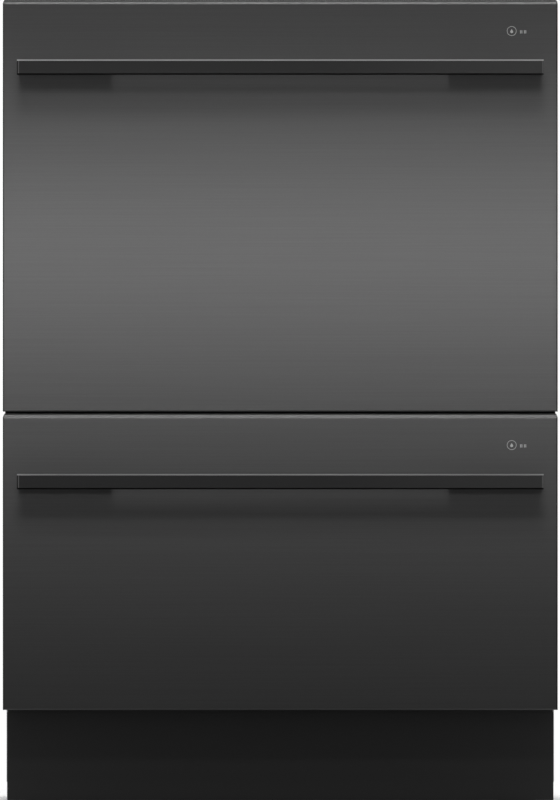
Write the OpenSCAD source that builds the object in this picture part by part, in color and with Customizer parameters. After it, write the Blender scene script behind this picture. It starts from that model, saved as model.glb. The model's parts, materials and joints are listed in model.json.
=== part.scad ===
// Double-drawer dishwasher: two wash drawers, one above the other, in one steel chassis.
// Millimetres. +Z is up, the fronts face -Y, and the origin is the middle of the footprint on the floor.

/* [Fronts] */
// Width of the two drawer fronts
front_w = 597; // [596:1:640]
// Depth from the face of the fronts to the back of the machine, handles left out
machine_depth = 573; // [560:1:620]
// Height of the lower front's bottom edge above the floor
kick_space_h = 100; // [98:1:130]
// Height of the lower front
lower_front_h = 319; // [314:1:360]
// Height of the upper front
upper_front_h = 443.5; // [420:0.5:480]
// Gap between the two fronts
front_gap = 2; // [1.5:0.5:5]
// Depth of the folded steel front, from its face to its back edge
front_t = 20; // [17:1:24]
// Thickness of the front's steel sheet
skin_t = 1; // [0.8:0.1:1.5]
// Inside radius of the fold along a front's top edge
top_fold_r = 5; // [2.5:0.5:6]
// Inside radius of the fold along a front's bottom edge
bottom_fold_r = 0.5; // [0.5:0.5:3]
// How far the moulded liner stands out behind the folded front
liner_lip = 2; // [1:0.5:4]
// Depth of the liner's rim inside the folded front
liner_rim = 8; // [5:0.5:9]
// Wall of the moulded liner
liner_wall = 2.5; // [2:0.5:4]

/* [Handle] */
// Length of the handle bar
handle_w = 566; // [400:1:580]
// Height of the bar
handle_h = 16.5; // [12:0.5:22]
// Thickness of the bar, front to back
handle_t = 12; // [8:1:16]
// How far the handle stands out from the front
handle_projection = 40; // [32:1:55]
// Distance from the top of a front down to the middle of its handle
handle_drop = 73.2; // [60:0.1:90]
// Length of each of the two feet that carry the bar
handle_foot_l = 100; // [40:1:120]
// Height of a handle foot
handle_foot_h = 16; // [8:0.5:16.5]
// How far a handle foot stays inside the end of the bar
handle_foot_inset = 1.7; // [0:0.1:6]
// Chamfer along the edges of the bar's face
handle_chamfer = 1.5; // [0.5:0.1:2]

/* [Chassis] */
// Thickness of the chassis sheet steel
sheet_t = 1; // [0.8:0.1:1.2]
// How far each side of the chassis stays in from the side of the fronts
side_reveal = 3.5; // [3.5:0.5:6]
// How far the chassis top stays below the top of the upper front
top_reveal = 4; // [3:1:10]
// Width of the flanges along the upright edges of the side panels
flange_w = 8; // [6:0.5:8]
// Height of the brace between the two drawers
brace_h = 22; // [16:1:30]
// Depth of the brace, front to back
brace_d = 30; // [20:1:32]
// Distance from the top of the lower front down to the underside of the brace
brace_drop = 15; // [10:1:16]
// Height of the stiffening bead under the front edge of the top panel
bead_h = 1.5; // [1:0.5:2]
// Thickness of the rubber strip on the chassis front
gasket_t = 1.7; // [1:0.1:3]
// How far that strip stands out past each side of the chassis
gasket_over = 1.2; // [0.6:0.2:2]
// Height of the underside of the base tray above the floor
base_z = 22; // [18:1:24]
// Height of the base tray's upstands
tray_lip_h = 25; // [15:1:30]
// How far the toe space goes back from the face of the fronts
kick_recess = 55; // [40:1:70]
// Gap between the kick plate and the fronts above it
kick_clear = 3; // [2:0.5:5]
// Gap between the kick plate and the floor
kick_floor_gap = 2; // [2:0.5:8]
// Length of the kick plate's ends that are folded back
kick_fold = 40; // [20:1:60]
// Depth of the recess for the hose and mains connections, at the back
service_recess = 46; // [44:1:52]
// Height of the top of that recess
service_h = 110; // [108:1:120]
// Width and length of a bench bracket
bracket = [26, 60];
// Thickness of a bench bracket
bracket_t = 1.5; // [1:0.1:2]
// Radius of a screw hole in a bench bracket
bracket_hole_r = 2.5; // [2:0.1:3]
// Distance between a bench bracket's two screw holes
bracket_pitch = 40; // [30:1:48]

/* [Levelling feet] */
// Radius of a foot's pad
foot_pad_r = 20; // [15:1:25]
// Thickness of a foot's pad
foot_pad_h = 8; // [6:1:10]
// Radius of a foot's threaded stem
foot_stem_r = 5; // [4:0.5:6]
// Radius of the nut in the base tray
foot_nut_r = 12; // [9:1:16]
// Height of the nut in the base tray
foot_nut_h = 10; // [8:1:11]
// How far a foot can be screwed out
foot_travel = 58; // [40:1:58]
// Distance from a foot's axis to the side of the chassis
foot_inset_x = 40; // [30:1:60]
// Distance from a foot's axis to the front or back edge of the base tray
foot_inset_y = 30; // [24:1:60]

/* [Drawer] */
// Distance from a tub's side to the outside of the chassis
tub_side_space = 20; // [20:0.5:30]
// Wall of a tub
tub_wall = 3; // [2.5:0.5:4]
// Radius of a tub's upright corners
tub_corner_r = 30; // [20:1:40]
// How far the rim stands out from a tub's wall
rim_w = 7; // [5:0.5:7]
// Thickness of the rim
rim_t = 3; // [2:0.5:5]
// Distance from the face of a front back to its tub
front_space = 66; // [62:1:80]
// Distance from the back of a tub to the back of the machine
back_space = 48; // [40:1:70]
// How far a drawer pulls out
drawer_travel = 460; // [380:1:470]
// Space above and below the parts that slide
bay_clear = 2; // [1.5:0.5:3]

/* [Runners] */
// Length of the cabinet rails and the middle rails
rail_l = 480; // [430:1:490]
// Height of the rail that is fixed to the chassis
rail_h = 46; // [42:1:50]
// Sheet thickness of the rails
rail_t = 1.4; // [1.2:0.1:1.6]
// Thickness of the rolled edges that carry the balls
rail_edge_t = 3; // [2.5:0.5:4]
// Width over one side's three nested rails
rail_stack_w = 12; // [11:0.5:12]
// Running clearance between two rails
rail_clear = 0.3; // [0.25:0.05:0.5]
// Height of the rails' middle above a tub's underside
rail_rise = 40; // [32:1:60]

/* [Lid] */
// Height of a lid's edge
lid_h = 15; // [12:1:18]
// Thickness of a lid's walls
lid_wall = 2.5; // [2:0.5:4]
// Height of the rubber seal below a lid
seal_h = 3; // [2:0.5:5]
// Width of the seal
seal_w = 8; // [6:0.5:9]
// How far a lid comes down onto its tub
lid_travel = 8; // [5:0.5:10]
// Width, length and height of a lid motor's housing
lid_motor = [9.5, 60, 60];
// Distance from a tub's rim down to the top of a lid motor
lid_motor_drop = 35; // [30:1:45]
// Thickness of the toothed hanger that a motor raises
hanger_t = 5; // [4:0.5:5.5]
// Width of that hanger
hanger_w = 20; // [14:1:40]

/* [Wash system] */
// Outside radius of the sump and motor housing
module_r = 100; // [96:1:110]
// Length of the drain stub on the sump housing
stub_l = 22; // [15:1:24]
// Height of the sump and motor housing
module_h = 46; // [44:1:50]
// Wall of the sump and motor housing
module_wall = 3; // [2:0.5:4]
// Radius of the motor's rotor
rotor_r = 44; // [30:1:44]
// Height of the motor's rotor
rotor_h = 15; // [10:1:18]
// How far the rim of the pump chamber stays below the tub's floor
chamber_drop = 10; // [6:1:14]
// Radius of the rotor's shaft
shaft_r = 4; // [3:0.5:6]
// Number of blades on the rotor's impeller
blade_count = 8; // [5:1:10]
// How far the filter plate reaches past the sump opening
filter_overlap = 35; // [20:1:50]
// Thickness of the filter plate
filter_t = 4; // [3:0.5:5]
// Width of the slots in the filter plate
slot_w = 2.4; // [1.5:0.1:3]
// Radius of the lift-out drain filter
drain_filter_r = 22; // [16:1:22]
// Distance from the spray arm's axis to the drain filter's
drain_filter_offset = 71; // [70:0.5:71]
// Gap between the tips of the spray arm and the tub
spray_gap = 18; // [12:1:50]
// Thickness of the spray arm
spray_t = 12; // [9:1:14]
// Half the width of a spray arm's blade at its root
spray_root_w = 19; // [12:1:22]
// Radius of a blade's round tip
spray_tip_r = 11; // [7:1:12]
// Width of the spray arm's hub round its spigot
spray_hub_w = 12; // [8:1:14]
// Height of the spray arm's underside above the tub's floor
spray_z = 17; // [16:1:20]
// Radius of the spigot that the spray arm turns on
spigot_r = 12; // [9:1:14]
// Radius of a spray hole
nozzle_r = 1.5; // [1:0.1:2.5]

/* [Rack] */
// Thickness of the rack's wires
wire_t = 4; // [3:0.5:4.5]
// Height of the underside of the rack's base above the tub's floor
rack_lift = 44; // [40:1:56]
// Height of the lower drawer's rack
lower_rack_h = 86; // [80:1:90]
// Height of the upper drawer's rack
upper_rack_h = 142; // [100:1:170]
// Gap between the rack and the tub's walls
rack_gap = 12; // [11:1:20]
// Distance from the middle of the rack's side to each of its legs
leg_offset = 190; // [150:1:195]
// Height of the tines
tine_h = 66; // [50:1:66]
// Distance between two tines of a row
tine_pitch = 30; // [24:1:30]
// Number of tines in a row
tine_count = 13; // [6:1:13]
// Distance between two rows of tines
row_pitch = 110; // [100:1:112]
// Depth of the fold-down cup shelf
shelf_d = 84; // [60:1:86]
// Length of the fold-down cup shelf
shelf_l = 300; // [200:1:320]
// Distance from the top of a rack down to its cup shelf
shelf_drop = 8; // [6:1:10]
// Width of the cutlery basket
basket_w = 84; // [70:1:88]
// Length of the cutlery basket
basket_l = 214; // [180:1:240]
// Height of the cutlery basket's sides
basket_h = 66; // [50:1:80]
// Height of the cutlery basket's carrying handle above its sides
basket_handle_h = 30; // [26:1:36]
// Number of compartments in the cutlery basket
basket_cells = 4; // [2:1:6]
// Wall of the cutlery basket
basket_wall = 2.5; // [2:0.5:3.5]

/* [Dispenser and controls] */
// Width of the detergent and rinse-aid dispenser
dispenser_w = 184; // [180:1:200]
// Height of the dispenser
dispenser_h = 68; // [64:1:80]
// Depth of the dispenser behind the tub's wall
dispenser_d = 28; // [20:1:30]
// Distance from a tub's rim down to the top of its dispenser
dispenser_drop = 24; // [18:1:40]
// Distance from the dispenser's end to the detergent cup
cup_margin = 12; // [8:1:14]
// Width of the detergent cup
cup_w = 62; // [50:1:64]
// Height of the detergent cup
cup_h = 42; // [30:1:46]
// Thickness of the sliding door over the cup
door_t = 2.5; // [2:0.5:3]
// How far the door covers past the cup on every side
door_lap = 5; // [4:0.5:5]
// Radius of the rinse-aid cap
cap_r = 13; // [10:1:14]
// Length of the rinse-aid cap's plug
cap_plug_l = 10; // [6:1:14]
// Distance from an end of the control unit to the outside of the chassis
control_side_space = 35; // [12:1:120]
// Height of the control unit
control_h = 34; // [25:1:40]

/* [Connections at the back] */
// Height of the connections above the floor
connection_z = 66; // [62:1:70]
// Distance from the left-hand side of the chassis to the water inlet
inlet_inset = 175; // [155:1:200]
// Outside radius of the water inlet's thread
inlet_r = 13.2; // [10:0.1:14]
// Length of the water inlet's thread
inlet_thread_l = 18; // [14:1:18]
// Distance from the left-hand side of the chassis to the drain outlet
drain_inset = 95; // [60:1:115]
// Outside radius of the drain spigot
drain_r = 9.5; // [8:0.5:12]
// Length of the drain spigot
drain_spigot_l = 32; // [24:1:32]
// Distance from the right-hand side of the chassis to the middle of the terminal box
terminal_inset = 115; // [95:1:160]
// Bore radius of the cable gland
gland_r = 4.5; // [3:0.5:6]

/* [Hidden] */
$fn = 48;
LOWER = 0;
UPPER = 1;
CORNERS = [[-1, -1], [1, -1], [-1, 1], [1, 1]];
touch = 0.3; // gap between pieces that seat on each other but stay apart
cut = 1; // how far a cutting shape runs past the face that it cuts

// Planes that the whole machine is set out from
screw_r = 2;
screw_play = 0.2;
screw_hole_r = screw_r + screw_play;
screw_head_r = 4;
screw_head_h = 2;
total_h = kick_space_h + lower_front_h + front_gap + upper_front_h;
handle_y = -(machine_depth + handle_projection) / 2; // front of the handles
face_y = handle_y + handle_projection; // face of the fronts
back_y = face_y + machine_depth; // heads of the screws at the back
rear_y = back_y - screw_head_h; // outside of the rear panel
service_y = back_y - service_recess; // inside of the rear panel behind the connections
liner_y = face_y + front_t + liner_lip; // back of a drawer front
chassis_y = liner_y + touch + gasket_t; // front edge of the chassis
chassis_top = total_h - top_reveal;
kick_y = face_y + kick_recess;
tray_y = kick_y + sheet_t + touch; // front of the base tray
chassis_w = front_w - 2 * side_reveal;
in_x = chassis_w / 2 - sheet_t; // inner face of a side panel
tub_w = chassis_w - 2 * tub_side_space;
control_w = chassis_w - 2 * control_side_space;
inlet_x = inlet_inset - chassis_w / 2;
drain_x = drain_inset - chassis_w / 2;
terminal_x = chassis_w / 2 - terminal_inset;

function front_z(d) = d == LOWER ? kick_space_h : kick_space_h + lower_front_h + front_gap;
function front_top(d) = front_z(d) + (d == LOWER ? lower_front_h : upper_front_h);

brace_z = front_top(LOWER) - brace_drop;
// Lowest and highest plane that the sliding parts of a drawer reach
function bay_z0(d) = d == LOWER ? kick_space_h + kick_clear : brace_z + brace_h + bay_clear;
function bay_z1(d) = d == LOWER ? brace_z - bay_clear : chassis_top - sheet_t - bead_h - bay_clear;

tub_y0 = face_y + front_space;
tub_y1 = back_y - back_space;
tub_d = tub_y1 - tub_y0;
tub_yc = (tub_y0 + tub_y1) / 2;
tub_in_x = tub_w / 2 - tub_wall;
tub_in_y0 = tub_y0 + tub_wall;
function tub_z(d) = bay_z0(d) + module_h; // underside of the tub's floor
function floor_z(d) = tub_z(d) + tub_wall;
function lid_z(d) = bay_z1(d) - lid_h; // underside of the raised lid
function rim_z(d) = lid_z(d) - seal_h - lid_travel - touch; // top of the tub's rim
function rail_z(d) = tub_z(d) + rail_rise;
rail_y = chassis_y + 1;
pad_x = in_x - rail_stack_w; // the drawer's rail seats here on the tub's pad

// A rectangle with round corners, centred
module rounded_rect(w, d, r) {
    square([w - 2 * r, d], center = true);
    square([w, d - 2 * r], center = true);
    for (c = CORNERS) translate([c.x * (w / 2 - r), c.y * (d / 2 - r)]) circle(r = r);
}

// A rectangle between two corners
module rect(low, high) {
    translate(low) square(high - low);
}

// A box between two corners
module box(low, high) {
    translate(low) cube(high - low);
}

// A flat grille of square wires with so many openings across and up, its first corner at the origin
module grille(w, h, across, up) {
    for (i = [0 : across]) translate([i * (w - wire_t) / across, 0]) square([wire_t, h]);
    for (i = [0 : up]) translate([0, i * (h - wire_t) / up]) square([w, wire_t]);
}

// An outline in Y and Z, extruded along X from x0 over a width w
module along_x(x0, w) {
    translate([x0, 0, 0]) rotate([90, 0, 90]) linear_extrude(w) children();
}

// An outline in X and Z, extruded along Y from y0 over a length l
module along_y(y0, l) {
    translate([0, y0 + l, 0]) rotate([90, 0, 0]) linear_extrude(l) children();
}

// A round pin or hole along +X or +Y from a point
module pin_x(p, r, l) {
    translate(p) rotate([0, 90, 0]) cylinder(r = r, h = l);
}

module pin_y(p, r, l) {
    translate(p) rotate([-90, 0, 0]) cylinder(r = r, h = l);
}

module both_sides() {
    children();
    mirror([1, 0, 0]) children();
}

// ---- Chassis ----

rail_screw_ys = [for (share = [0.1, 0.5, 0.9]) rail_y + share * rail_l];
rear_screw_x = in_x - flange_w / 2;
rear_screw_zs = [for (share = [0.05, 0.35, 0.65, 0.95]) service_h + share * (chassis_top - service_h)];
runout_h = rail_h + 6; // the front flange is cut away over this height where the rails run out

// The side sheet, with the toe space and the recess for the connections cut away
module side_outline() {
    polygon([
        [chassis_y, kick_space_h], [chassis_y, chassis_top], [rear_y - sheet_t, chassis_top],
        [rear_y - sheet_t, service_h], [service_y, service_h], [service_y, base_z], [tray_y, base_z],
        [tray_y, kick_space_h],
    ]);
}

module side_panel() {
    difference() {
        union() {
            along_x(in_x, sheet_t) side_outline();
            box([in_x - flange_w, chassis_y, kick_space_h],
                [in_x + sheet_t, chassis_y + sheet_t, chassis_top - sheet_t]);
            box([in_x - flange_w, rear_y - 2 * sheet_t, service_h],
                [in_x + sheet_t, rear_y - sheet_t, chassis_top - sheet_t]);
        }
        for (d = [LOWER, UPPER]) {
            box([in_x - flange_w - cut, chassis_y - cut, rail_z(d) - runout_h / 2],
                [in_x, chassis_y + sheet_t + cut, rail_z(d) + runout_h / 2]);
            for (y = rail_screw_ys) pin_x([in_x - cut, y, rail_z(d)], screw_hole_r, sheet_t + 2 * cut);
        }
        for (z = rear_screw_zs)
            pin_y([rear_screw_x, rear_y - 2 * sheet_t - cut, z], screw_hole_r, sheet_t + 2 * cut);
    }
}

module side_panels() {
    color("dimgray") both_sides() side_panel();
}

// The back sheet steps forward at the bottom, so that the connections stay inside the machine's depth
module rear_panel() {
    s = sheet_t;
    color("dimgray") difference() {
        along_x(-in_x, 2 * in_x) polygon([
            [rear_y - s, chassis_top], [rear_y, chassis_top], [rear_y, service_h - s],
            [service_y + s, service_h - s], [service_y + s, base_z], [service_y, base_z],
            [service_y, service_h], [rear_y - s, service_h],
        ]);
        for (side = [-1, 1], z = rear_screw_zs)
            pin_y([side * rear_screw_x, rear_y - s - cut, z], screw_hole_r, s + 2 * cut);
    }
}

bracket_x = in_x - bracket.x;
bracket_y = chassis_y + bracket.y;

// The four screw holes of the bench brackets, as cylinders
module bracket_holes(r) {
    for (c = CORNERS)
        translate([c.x * bracket_x, bracket_y + c.y * bracket_pitch / 2, chassis_top - sheet_t - cut])
            cylinder(r = r, h = sheet_t + bracket_t + 2 * cut);
}

module top_panel() {
    color("dimgray") difference() {
        union() {
            box([-in_x, chassis_y, chassis_top - sheet_t], [in_x, rear_y - sheet_t, chassis_top]);
            box([flange_w - in_x, chassis_y, chassis_top - sheet_t - bead_h],
                [in_x - flange_w, chassis_y + sheet_t, chassis_top]);
        }
        bracket_holes(bracket_hole_r + 1);
    }
}

// Flat brackets on the top panel, through which the machine is screwed up to the worktop
module bench_brackets() {
    color("silver") difference() {
        for (side = [-1, 1])
            translate([side * bracket_x, bracket_y, chassis_top]) linear_extrude(bracket_t)
                rounded_rect(bracket.x, bracket.y, 4);
        bracket_holes(bracket_hole_r);
    }
}

function foot_place(c) = [
    c.x * (chassis_w / 2 - foot_inset_x),
    c.y < 0 ? tray_y + foot_inset_y : service_y - foot_inset_y,
    0,
];

// Shallow flood tray with a nut for each levelling foot
module base_tray() {
    color("gray") difference() {
        box([-in_x, tray_y, base_z], [in_x, service_y, base_z + tray_lip_h]);
        difference() {
            box([sheet_t - in_x, tray_y + sheet_t, base_z + sheet_t],
                [in_x - sheet_t, service_y - sheet_t, base_z + tray_lip_h + cut]);
            for (c = CORNERS) translate(foot_place(c)) cylinder(r = foot_nut_r, h = base_z + foot_nut_h);
        }
        for (c = CORNERS) translate(foot_place(c)) cylinder(r = foot_stem_r + touch, h = total_h);
    }
}

// A channel across the front, open to the back, that ties the side panels together
module middle_brace() {
    color("dimgray") difference() {
        box([-in_x, chassis_y + sheet_t, brace_z], [in_x, chassis_y + brace_d, brace_z + brace_h]);
        box([-in_x - cut, chassis_y + 2 * sheet_t, brace_z + sheet_t],
            [in_x + cut, chassis_y + brace_d + cut, brace_z + brace_h - sheet_t]);
    }
}

// Rubber strip round both openings, cut away where the rails run out
module front_gasket() {
    strip_y = chassis_y - gasket_t;
    strip_x = chassis_w / 2 + gasket_over;
    color("black") difference() {
        box([-strip_x, strip_y, kick_space_h], [strip_x, chassis_y, chassis_top]);
        box([flange_w - in_x, strip_y - cut, kick_space_h - cut],
            [in_x - flange_w, chassis_y + cut, brace_z]);
        box([flange_w - in_x, strip_y - cut, brace_z + brace_h],
            [in_x - flange_w, chassis_y + cut, chassis_top - sheet_t - bead_h]);
        for (d = [LOWER, UPPER])
            box([-strip_x - cut, strip_y - cut, rail_z(d) - runout_h / 2],
                [strip_x + cut, chassis_y + cut, rail_z(d) + runout_h / 2]);
    }
}

// Plate that closes the toe space, its ends folded back inside the side panels above the tray
module kick_plate() {
    plate_x = chassis_w / 2 - 0.5;
    fold_x = in_x - touch;
    top = kick_space_h - kick_clear;
    color([0.09, 0.09, 0.09]) union() {
        box([-plate_x, kick_y, kick_floor_gap], [plate_x, kick_y + sheet_t, top]);
        both_sides() box([fold_x - sheet_t, kick_y, base_z + tray_lip_h + touch],
            [fold_x, kick_y + kick_fold, top]);
    }
}

// Adjustable foot: a pad on a threaded stem that stays in its nut when the foot is screwed right out
module levelling_foot(c) {
    color("darkslategray") translate(foot_place(c)) {
        cylinder(r = foot_pad_r, h = foot_pad_h);
        cylinder(r = foot_stem_r, h = base_z + foot_nut_h + foot_travel - 2);
    }
}

module panel_screws() {
    color("silver") {
        for (d = [LOWER, UPPER], y = rail_screw_ys) both_sides() {
            pin_x([in_x + sheet_t, y, rail_z(d)], screw_head_r, screw_head_h);
            pin_x([in_x - rail_t + touch, y, rail_z(d)], screw_r, sheet_t + rail_t);
        }
        for (z = rear_screw_zs) both_sides() {
            pin_y([rear_screw_x, rear_y, z], screw_head_r, screw_head_h);
            pin_y([rear_screw_x, rear_y - 2 * sheet_t, z], screw_r, 2 * sheet_t + cut);
        }
    }
}

// ---- Runners: three nested rails on each side of each drawer ----

middle_half_h = rail_h / 2 - rail_edge_t - rail_clear;
drawer_half_h = middle_half_h - rail_edge_t - rail_clear;

// Section of a rail on the right-hand side: a web and two rolled edges, centred on Z
module rail_section(web_x0, edge_x0, edge_x1, half_h) {
    rect([web_x0, -half_h], [web_x0 + rail_t, half_h]);
    for (s = [0, 1]) mirror([0, s]) rect([edge_x0, half_h - rail_edge_t], [edge_x1, half_h]);
}

module cabinet_rails() {
    color("silver") for (d = [LOWER, UPPER]) both_sides() difference() {
        translate([0, 0, rail_z(d)]) along_y(rail_y, rail_l)
            rail_section(in_x - rail_t, pad_x + touch, in_x, rail_h / 2);
        for (y = rail_screw_ys)
            pin_x([in_x - rail_t - cut, y, rail_z(d)], screw_hole_r, rail_t + 2 * cut);
    }
}

module middle_rails(d) {
    outer_x = in_x - rail_t - rail_clear;
    color("silver") both_sides() translate([0, 0, rail_z(d)]) along_y(rail_y, rail_l)
        rail_section(outer_x - rail_t, pad_x + 2 * touch, outer_x, middle_half_h);
}

// The drawer's own rail, with a tab at its end that holds the front
module drawer_rails(d) {
    outer_x = in_x - 2 * (rail_t + rail_clear);
    tab_w = 20;
    color("silver") both_sides() translate([0, 0, rail_z(d)]) {
        along_y(liner_y, rail_y + rail_l - liner_y) rail_section(pad_x, pad_x, outer_x, drawer_half_h);
        box([pad_x - tab_w, liner_y, -drawer_half_h], [pad_x + rail_t, liner_y + 2, drawer_half_h]);
    }
}

// ---- Drawer front ----

// Section through a folded front in Y and Z; an inset gives its inner face
module front_section(d, inset, depth) {
    low = [face_y + inset, front_z(d) + inset];
    high = [face_y + depth, front_top(d) - inset];
    r_top = top_fold_r + skin_t - inset;
    r_bottom = bottom_fold_r + skin_t - inset;
    rect([low.x, low.y + r_bottom], [high.x, high.y - r_top]);
    rect([low.x + r_top, low.y + r_bottom], high);
    rect([low.x + r_bottom, low.y], [high.x, high.y - r_top]);
    translate([low.x + r_top, high.y - r_top]) circle(r = r_top);
    translate([low.x + r_bottom, low.y + r_bottom]) circle(r = r_bottom);
}

module front_panel(d) {
    color([0.25, 0.25, 0.25]) difference() {
        along_x(-front_w / 2, front_w) front_section(d, 0, front_t);
        along_x(skin_t - front_w / 2, front_w - 2 * skin_t) front_section(d, skin_t, front_t + cut);
    }
}

module front_liner(d) {
    low = [skin_t - front_w / 2, face_y + front_t - liner_rim, front_z(d) + skin_t];
    high = [front_w / 2 - skin_t, liner_y, front_top(d) - skin_t];
    wall = [liner_wall, liner_wall, liner_wall];
    color("gainsboro") difference() {
        box(low, high);
        box(low + [liner_wall, -cut, liner_wall], high - wall);
    }
}

// Electronics box behind the top of a front, with a touch strip let into its top
module control_unit(d) {
    back = tub_y0 - rim_w - 3;
    color("black") difference() {
        box([-control_w / 2, liner_y, bay_z1(d) - control_h], [control_w / 2, back, bay_z1(d)]);
        box([-control_w / 4, liner_y + 6, bay_z1(d) - 1], [control_w / 4, back - 6, bay_z1(d) + cut]);
    }
}

module handle(d) {
    z = front_top(d) - handle_drop;
    y0 = handle_y;
    y1 = handle_y + handle_t;
    h = handle_h / 2;
    c = handle_chamfer;
    foot_x1 = handle_w / 2 - handle_foot_inset;
    foot_z1 = handle_foot_h / 2;
    color([0.2, 0.2, 0.2]) translate([0, 0, z]) {
        along_x(-handle_w / 2, handle_w)
            polygon([[y0, c - h], [y0 + c, -h], [y1, -h], [y1, h], [y0 + c, h], [y0, h - c]]);
        both_sides() box([foot_x1 - handle_foot_l, y1 - cut, -foot_z1], [foot_x1, face_y, foot_z1]);
    }
}

// ---- Tub, lid and dispenser ----

// Outline of the tub, grown or shrunk
module tub_outline(grow) {
    translate([0, tub_yc]) rounded_rect(tub_w + 2 * grow, tub_d + 2 * grow, tub_corner_r + grow);
}

sump_r = module_r - module_wall - 2; // the opening in a tub's floor
function dispenser_top(d) = rim_z(d) - dispenser_drop;
function dispenser_mid(d) = dispenser_top(d) - dispenser_h / 2;
cup_x0 = -dispenser_w / 2 + cup_margin; // left-hand side of the detergent cup

module tub(d) {
    pad_h = 2 * (drawer_half_h - rail_edge_t);
    color("gainsboro") difference() {
        union() {
            translate([0, 0, tub_z(d)]) linear_extrude(rim_z(d) - tub_z(d)) tub_outline(0);
            translate([0, 0, rim_z(d) - rim_t]) linear_extrude(rim_t) tub_outline(rim_w);
            both_sides() box([tub_in_x, tub_y0 + tub_corner_r, rail_z(d) - pad_h / 2],
                [pad_x, tub_y1 - tub_corner_r, rail_z(d) + pad_h / 2]);
        }
        translate([0, 0, floor_z(d)]) linear_extrude(total_h) tub_outline(-tub_wall);
        translate([0, tub_yc, tub_z(d) - cut]) cylinder(r = sump_r, h = tub_wall + 2 * cut);
        box([-dispenser_w / 2 - touch, tub_y0 - cut, dispenser_top(d) - dispenser_h - touch],
            [dispenser_w / 2 + touch, tub_in_y0 + cut, dispenser_top(d) + touch]);
    }
}

lid_grow = rim_w + 1;
hanger_x = in_x - 3 - hanger_t;
motor_y = tub_yc;

// Inverted pan that closes the tub, with a hanger clipped to each side that runs down to a motor
module lid(d) {
    arm_z = lid_z(d) + lid_wall;
    arm_h = 5;
    color("whitesmoke") {
        difference() {
            translate([0, 0, lid_z(d)]) linear_extrude(lid_h) tub_outline(lid_grow);
            translate([0, 0, lid_z(d) - cut]) linear_extrude(lid_wall + 2 * cut)
                tub_outline(rim_w - seal_w);
            translate([0, 0, lid_z(d) + lid_wall]) linear_extrude(lid_h - 2 * lid_wall)
                tub_outline(lid_grow - lid_wall);
        }
        both_sides() {
            box([tub_w / 2 + lid_grow + touch, motor_y - hanger_w / 2, arm_z],
                [hanger_x + hanger_t, motor_y + hanger_w / 2, arm_z + arm_h]);
            box([hanger_x, motor_y - hanger_w / 2, rim_z(d) - lid_motor_drop - lid_motor.z / 2],
                [hanger_x + hanger_t, motor_y + hanger_w / 2, arm_z + arm_h]);
        }
    }
}

module lid_seal(d) {
    color("dimgray") translate([0, 0, lid_z(d) - seal_h]) linear_extrude(seal_h) difference() {
        tub_outline(rim_w);
        tub_outline(rim_w - seal_w);
    }
}

// Motor housings inside the side panels; each has a slot that a lid's hanger runs in
module lid_motors() {
    color("dimgray") for (d = [LOWER, UPPER]) both_sides() difference() {
        top = rim_z(d) - lid_motor_drop;
        box([in_x - lid_motor.x, motor_y - lid_motor.y / 2, top - lid_motor.z],
            [in_x, motor_y + lid_motor.y / 2, top]);
        box([hanger_x - touch, motor_y - hanger_w / 2 - touch, top - lid_motor.z / 2 - lid_travel - 4],
            [hanger_x + hanger_t + touch, motor_y + hanger_w / 2 + touch, top + cut]);
    }
}

flange_y = tub_in_y0 + 3; // face of the dispenser inside the tub
door_w = cup_w + 2 * door_lap;
door_h = cup_h + 2 * door_lap;
cap_x = dispenser_w / 2 - cap_r - 4;
plug_r = cap_r - 5; // plug of the rinse-aid cap

// Moulded dispenser let into the tub's front wall, with tracks that the detergent door slides in
module dispenser(d) {
    z = dispenser_mid(d);
    track_x0 = cup_x0 - door_lap;
    track_x1 = cap_x - cap_r - 1;
    track_y = flange_y + door_t + 2 * touch;
    lip_y = track_y + 1.2;
    color("lightgray") difference() {
        union() {
            box([-dispenser_w / 2, tub_y0 - dispenser_d, z - dispenser_h / 2],
                [dispenser_w / 2, flange_y, z + dispenser_h / 2]);
            box([-dispenser_w / 2 - 4, tub_in_y0, z - dispenser_h / 2 - 4],
                [dispenser_w / 2 + 4, flange_y, z + dispenser_h / 2 + 4]);
            for (s = [-1, 1]) translate([0, 0, z + s * (door_h / 2 + touch + 1)]) {
                box([track_x0, flange_y - cut, -1], [track_x1, lip_y, 1]);
                translate([0, 0, -s]) box([track_x0, track_y, -1], [track_x1, lip_y, 1]);
            }
        }
        box([cup_x0, tub_y0 - dispenser_d + 3, z - cup_h / 2],
            [cup_x0 + cup_w, flange_y + cut, z + cup_h / 2]);
        pin_y([cap_x, flange_y - cap_plug_l - 2, z], plug_r + touch, cap_plug_l + 2 + cut);
    }
}

module detergent_door(d) {
    z = dispenser_mid(d);
    y = flange_y + touch;
    x0 = cup_x0 - door_lap;
    grip_x = x0 + door_w / 2;
    color("gray") {
        box([x0, y, z - door_h / 2], [x0 + door_w, y + door_t, z + door_h / 2]);
        box([grip_x - 2, y, z - cup_h / 4], [grip_x + 2, y + door_t + 3, z + cup_h / 4]);
    }
}

module rinse_aid_cap(d) {
    p = [cap_x, flange_y, dispenser_mid(d)];
    color("steelblue") {
        pin_y(p + [0, touch, 0], cap_r, 3);
        pin_y(p - [0, cap_plug_l, 0], plug_r, cap_plug_l + touch + cut);
        box(p + [-2, 2, 2 - cap_r], p + [2, 6.5, cap_r - 2]);
    }
}

// ---- Wash system under and in the tub ----

chamber_r = rotor_r + 1; // inside of the pump chamber
chamber_wall = 2;
boss_h = 8;
stub_r = 7.5;
stub_wall = 2.5;
drain_place = [0, tub_yc + drain_filter_offset];

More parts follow.
